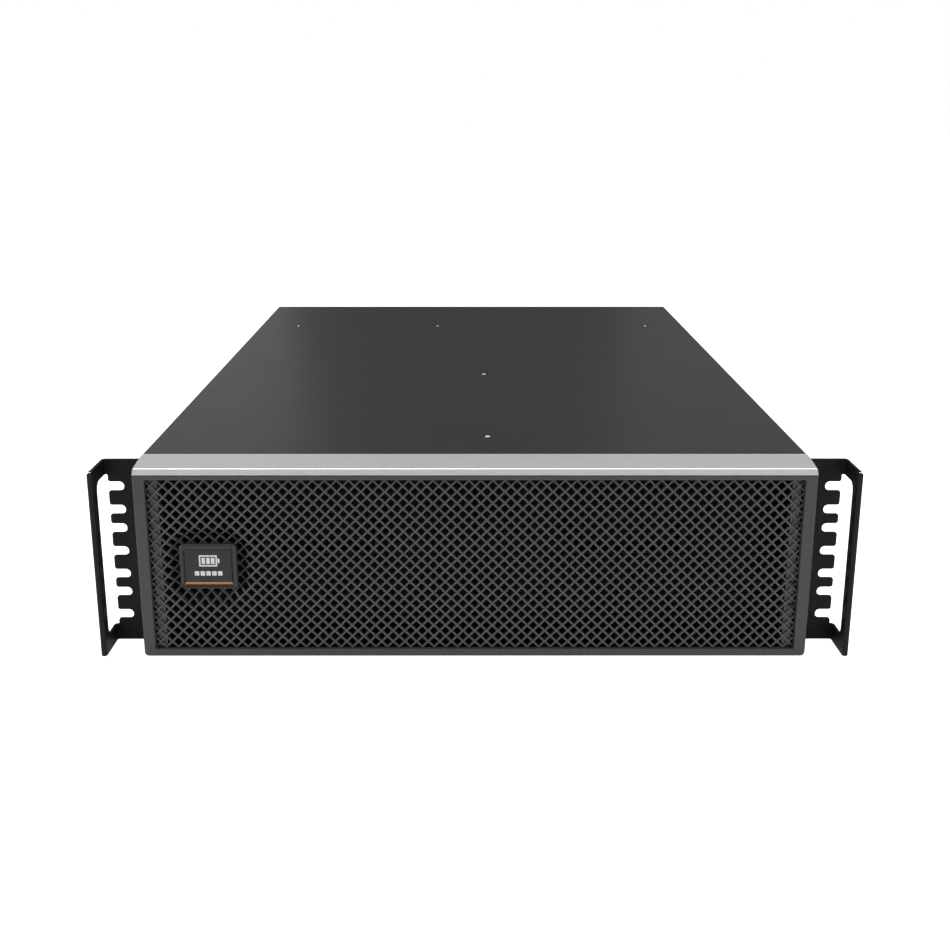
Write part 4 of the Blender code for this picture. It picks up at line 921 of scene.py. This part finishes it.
def cut(obj, bm):
    """Cut a shape out of a piece for good."""
    obj.modifiers.clear()
    bmesh.ops.recalc_face_normals(bm, faces=bm.faces)
    tool = mesh_object("cutter", bm)
    boolean = obj.modifiers.new("Cut", "BOOLEAN")
    boolean.operation = "DIFFERENCE"
    boolean.object = tool
    bpy.context.view_layer.update()
    depsgraph = bpy.context.evaluated_depsgraph_get()
    result = bpy.data.meshes.new_from_object(obj.evaluated_get(depsgraph))
    obj.modifiers.clear()
    obj.data = result
    bpy.data.objects.remove(tool)


def lid_screws():
    """Small domed screws, near-white as a painted glint, sunk in the lid's dimples, each with a cross recess.
    """
    for i, name in enumerate(LID_SCREWS):
        x, y, _ = middle_of(name)
        low, high = (corner.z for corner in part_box(name))
        screw_head(f"lid_screw_{i + 1}", (x, y, high - 0.05 * MM), "Z", 1, 1.9 * MM, 1.4 * MM, 0.9 * MM,
                   low - high, look="zinc_with_painted_glint", dome=0.42, recess=0.3, stands_for=name)


def screw_head(name, place, axis, outward, radius, height, shank, reach, look="zinc", dome=0.22, recess=0.5,
               stands_for=None):
    """A pan head with a cross recess. place is the middle of its top, reach its shank's other end."""
    rise = dome * radius
    profile = [(shank, reach), (shank, -height), (radius, -height), (radius, -rise * 1.2),
               (radius * 0.92, -rise * 0.75), (radius * 0.75, -rise * 0.38), (radius * 0.45, -rise * 0.08),
               (radius * 0.2, 0.0)]
    bm = bmesh.new()
    turned(bm, place, axis, [(r, outward * along) for r, along in profile], 28)
    obj = piece(name, bm, look, stands_for=stands_for)
    arm = radius * recess
    width = arm * 0.24
    deep = arm * 0.7
    cross = [(arm, -width), (arm, width), (width, width)]
    for _ in range(3):
        cross += [(-v, u) for u, v in cross[-3:]]
    cut(obj, lofted([across(place, axis, cross, outward * along) for along in (-deep, deep)]))
    soften(obj, sharp=30)


def side_screws():
    """Pan heads on both sides of the case, for the ears and for the rear panel."""
    flange = EAR_BOX[0].x + 2.0 * MM
    for side, label in SIDES:
        for index, (y, z) in enumerate(SIDE_SCREWS):
            at_ear = index < len(EAR_SCREW_HEIGHTS)
            seat = flange if at_ear else COVER_BOX[1].x
            name = f"ear_screw_{label}_{index + 1}" if at_ear else f"panel_screw_{label}_{index - 2}"
            screw_head(name, (side * (seat + 1.5 * MM), y, z), "X", side, 3.0 * MM, 1.45 * MM, 1.3 * MM,
                       -7.5 * MM, look="dark_zinc" if at_ear else "zinc")


# ---- wiring and rear details


def swept(bm, corners, radius, bend=5 * MM, steps=5, sides=10):
    """A round wire along a path with soft bends."""
    points = [Vector(corner) for corner in corners]
    path = [points[0]]
    for before, corner, after in zip(points, points[1:], points[2:]):
        reach = min(bend, (before - corner).length / 2, (after - corner).length / 2)
        first = corner + (before - corner).normalized() * reach
        last = corner + (after - corner).normalized() * reach
        for i in range(steps + 1):
            t = i / steps
            path.append(first * (1 - t) ** 2 + corner * 2 * t * (1 - t) + last * t ** 2)
    path.append(points[-1])
    normal = (path[1] - path[0]).orthogonal().normalized()
    loops = []
    for i, point in enumerate(path):
        along = (path[min(i + 1, len(path) - 1)] - path[max(i - 1, 0)]).normalized()
        normal = (normal - along * normal.dot(along)).normalized()
        other = along.cross(normal)
        loops.append([point + normal * u + other * v for u, v in circle((0, 0), radius, sides)])
    loft(bm, loops)


def block(bm, low, high, radius):
    """A box with rounded corners seen from above and softened ends."""
    outline = rounded_rect(low[:2], high[:2], radius, steps=3)
    small = shrunk(outline, 0.3 * MM)
    loft(bm, [[(x, y, z) for x, y in points] for points, z in (
        (small, low[2]), (outline, low[2] + 0.3 * MM), (outline, high[2] - 0.3 * MM), (small, high[2]))])


def terminals(label, index):
    """The two tab terminals of a battery: their X, Y and top, the inner one first."""
    low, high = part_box(f"battery_{label}_{index}")
    middle = (low.x + high.x) / 2
    side = -1 if middle < 0 else 1
    return [Vector((middle - inner * side * 19 * MM, high.y - 9 * MM, high.z)) for inner in (1, -1)]


def battery_wiring(label):
    """Sleeves on every tab, links from block to block in series, and two leads to the tray's plug."""
    tray = f"tray_{label}"
    tabs = {i: terminals(label, i) for i in range(1, 9)}
    down = Vector((0, 0, -1.5 * MM))
    sleeves = bmesh.new()
    for pair in tabs.values():
        for tab in pair:
            block(sleeves, tab - Vector((2.1, 4.3, 5.6)) * MM, tab + Vector((2.1, 4.3, 1.4)) * MM, 1.0 * MM)
    piece(f"tab_sleeves_{label}", sleeves, "red_cable", tray)
    # From a battery's tab to the next battery's, each as (battery, tab): tab 0 is the inner one.
    chain = ((1, 1, 2, 0), (2, 1, 3, 0), (3, 1, 6, 1), (6, 0, 5, 1), (5, 0, 4, 1), (4, 0, 7, 0), (7, 1, 8, 0))
    links = bmesh.new()
    for first, first_tab, second, second_tab in chain:
        swept(links, (tabs[first][first_tab] + down, tabs[second][second_tab] + down), 1.3 * MM)
    piece(f"cell_links_{label}", links, "black_cable", tray)

    plug_x, _, plug_z = middle_of(f"tray_plug_{label}")
    plug_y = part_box(f"tray_plug_{label}")[0].y - 0.5 * MM
    lead_gap = 6 * MM
    behind = tabs[7][0].y + 16 * MM
    start = tabs[8][1] + down
    x = plug_x + lead_gap
    positive = [start, (x, start.y, start.z), (x, start.y, plug_z), (x, plug_y, plug_z)]
    start = tabs[1][0] + down
    x = plug_x - lead_gap
    lane = (tabs[1][0].x + tabs[1][1].x) / 2
    negative = [start, (lane, start.y, start.z), (lane, behind, start.z), (x, behind, start.z),
                (x, behind, plug_z), (x, plug_y, plug_z)]
    for name, corners, look in (("positive", positive, "red_cable"), ("negative", negative, "black_cable")):
        lead = bmesh.new()
        swept(lead, corners, 1.6 * MM)
        piece(f"{name}_lead_{label}", lead, look, tray)


def outlet_contacts():
    """Two blades in each outlet."""
    bm = bmesh.new()
    for name in OUTLETS:
        x, _, z = middle_of(name)
        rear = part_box(name)[1].y
        for pole in (-12 * MM, 12 * MM):
            blade = ((x + pole - 3.5 * MM, z - 1.0 * MM), (x + pole + 3.5 * MM, z + 1.0 * MM))
            wide = rounded_rect(*blade, 0.4 * MM, steps=3)
            loft(bm, [upright(wide, rear - 14.5 * MM), upright(wide, rear - 4.5 * MM),
                      upright(shrunk(wide, 0.4 * MM), rear - 3.8 * MM)])
    piece("outlet_contacts", bm, "brass")


def port_contacts():
    """Eight sprung pins in each data port."""
    x, _, _ = middle_of("comm_ports")
    low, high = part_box("comm_ports")
    pitch = 1.02 * MM
    bm = bmesh.new()
    bends = ((12.7 * MM, 9.6 * MM), (6 * MM, 9.0 * MM), (3 * MM, 7.4 * MM))
    for port in (x - 9 * MM, x + 9 * MM):
        for i in range(8):
            pin = [(port + (i - 3.5) * pitch, high.y - back, low.z + up) for back, up in bends]
            swept(bm, pin, 0.22 * MM, bend=1 * MM, steps=2, sides=6)
    piece("port_contacts", bm, "brass")


def board_parts():
    """Chips and capacitors on the detection board, with their sizes in millimetres."""
    low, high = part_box("detection_board")
    top = high.z - 0.1 * MM
    chips = bmesh.new()
    for x, y, wide, long, tall in ((20, 22, 7, 7, 1.2), (34, 20, 5, 6, 1.0), (24, 38, 4, 5, 1.0),
                                   (50, 24, 9, 5, 2.2), (10, 40, 5, 8, 5.0)):
        corner = Vector((low.x + x * MM, low.y + y * MM, top))
        half = Vector((wide, long, 0)) * MM / 2
        block(chips, corner - half, corner + half + Vector((0, 0, (tall + 0.6) * MM)), 0.4 * MM)
    piece("board_chips", chips, "chip_plastic")
    cans = bmesh.new()
    for x, y, radius, tall in ((58, 14, 4.0, 11), (58, 40, 3.2, 8), (46, 42, 3.2, 8)):
        r, h = radius * MM, tall * MM
        turned(cans, (low.x + x * MM, low.y + y * MM, top), "Z", (
            (r, 0), (r, 1.2 * MM), (r * 0.9, 1.6 * MM), (r, 2.0 * MM), (r, h - 0.5 * MM),
            (r - 0.5 * MM, h), (r * 0.6, h), (r * 0.55, h - 0.2 * MM)), 20)
    piece("board_capacitors", cans, "zinc")


def rear_screws():
    """Screws of the breaker and of the outlets in the rear panel."""
    x, _, z = middle_of("breaker_body")
    corner = 28 * MM
    spots = [(x + dx, z + dz) for dx in (-corner, corner) for dz in (-corner, corner)]
    for name in OUTLETS:
        low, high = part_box(name)
        spots += [(x, (low.z + high.z) / 2) for x in (low.x - 5 * MM, high.x + 5 * MM)]
    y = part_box("rear_panel")[1].y + 1.2 * MM
    for index, (x, z) in enumerate(spots):
        screw_head(f"rear_screw_{index + 1}", (x, y, z), "Y", 1, 2.5 * MM, 1.2 * MM, 1.2 * MM, -4 * MM)


# ---- carried-over nodes


def carried_nodes():
    """Materials and softened edges for the CAD nodes that stay, by the start of their names."""
    looks = {
        "steel_paint": ("base_pan", "rear_panel"),
        "inner_paint_and_shade": ("front_frame", "tray_face"),
        "bare_steel": ("centre_partition", "rear_bulkhead", "tray_pan"),
        "connector_plastic": ("tray_socket", "tray_plug", "dc_connector", "comm_ports"),
        "breaker_case": ("breaker_body",),
        "toggle_plastic": ("breaker_toggle",),
        "board_green": ("detection_board",),
        "zinc": ("ground_stud",),
        "dark_zinc": ("thumbscrew", "tray_handle"),
        "black_cable": ("feed_cable", "outlet_loom"),
        "fibre_sheet": ("insulator",),
        "battery_case": ("battery",),
    }
    already_round = ("feed_cable", "outlet_loom", "tray_handle")
    for look, starts in looks.items():
        for name in NODES:
            if name.startswith(starts):
                dress(name, look, 0.0 if name.startswith(already_round) else 0.25 * MM)


# ---- stage


def area_light(name, place, target, size, energy):
    data = bpy.data.lights.new(name, "AREA")
    data.shape = "RECTANGLE"
    data.size, data.size_y = size
    data.energy = energy
    light = placed(name, data)
    light.location = place
    light.rotation_euler = (Vector(target) - Vector(place)).to_track_quat("-Z", "Y").to_euler()
    light.visible_camera = False


def seen_and_felt(tree, seen, felt):
    """One brightness for what the camera sees, and another for the light that reaches the object."""
    camera_ray = node(tree, "LightPath").outputs["Is Camera Ray"]
    return spread(tree, camera_ray, felt, seen, (0.0, 1.0))


def floor():
    """Pale floor."""
    bm = bmesh.new()
    bmesh.ops.create_circle(bm, cap_ends=True, radius=14.0, segments=64)
    obj = mesh_object("floor", bm)
    obj.location.z = -0.3 * MM
    pale = bpy.data.materials.new("pale_floor")
    pale.use_nodes = True
    tree = pale.node_tree
    shader = tree.nodes["Principled BSDF"]
    patches = spread(tree, noise(tree, object_place(tree), 3.0))
    tree.links.new(mixed(tree, patches, grey(247), grey(252)), shader.inputs["Base Color"])
    shader.inputs["Roughness"].default_value = 0.9
    shader.inputs["Specular IOR Level"].default_value = 0.1
    shader.inputs["Emission Color"].default_value = (1, 1, 1, 1)
    tree.links.new(seen_and_felt(tree, 1.1, 0.08), shader.inputs["Emission Strength"])
    obj.data.materials.append(pale)


def surroundings():
    """White surroundings and five soft lights."""
    world = bpy.data.worlds.new("studio")
    world.use_nodes = True
    bpy.context.scene.world = world
    background = world.node_tree.nodes["Background"]
    background.inputs["Color"].default_value = (1, 1, 1, 1)
    world.node_tree.links.new(seen_and_felt(world.node_tree, 1.0, 0.12), background.inputs["Strength"])
    middle = (0.0, -0.15, 0.08)
    area_light("left_softbox", (-0.9, -0.9, 0.58), middle, (0.45, 1.1), 3.7)
    area_light("right_softbox", (0.9, -0.9, 0.58), middle, (0.45, 1.1), 3.7)
    area_light("top_softbox", (0.0, -0.35, 1.5), middle, (1.6, 0.7), 12)
    area_light("rear_left_softbox", (-1.25, 2.2, 0.75), (-0.2, 0.0, 0.13), (1.7, 1.2), 1.55)
    area_light("rear_right_softbox", (1.2, 2.2, 0.75), (0.2, 0.0, 0.13), (1.7, 1.2), 0.65)


def camera():
    """Camera at the product view: in front of the case, above it, and aimed a little down."""
    lens = bpy.data.cameras.new("camera")
    lens.lens = 48.68
    lens.sensor_width = 36.0
    lens.shift_x = 0.00778
    lens.shift_y = 0.00055
    obj = placed("camera", lens)
    obj.location = (-0.0051, -1.11528, 0.34558)
    obj.rotation_euler = (math.radians(73.874), 0.0, math.radians(-0.035))
    bpy.context.scene.camera = obj
    bpy.context.scene.view_settings.view_transform = "Standard"


carried_nodes()
lid()
lid_screws()
side_screws()
for tray_side in ("left", "right"):
    battery_wiring(tray_side)
outlet_contacts()
port_contacts()
board_parts()
rear_screws()
for ear_side, ear_label in SIDES:
    rack_ear(ear_side, ear_label)
bezel_frame()
bezel_hooks()
bezel_trim()
bezel_lattice()
badge_boss()
badge_body()
badge_stud()
badge_plate()
badge_bar()
badge_sign()
floor()
surroundings()
camera()
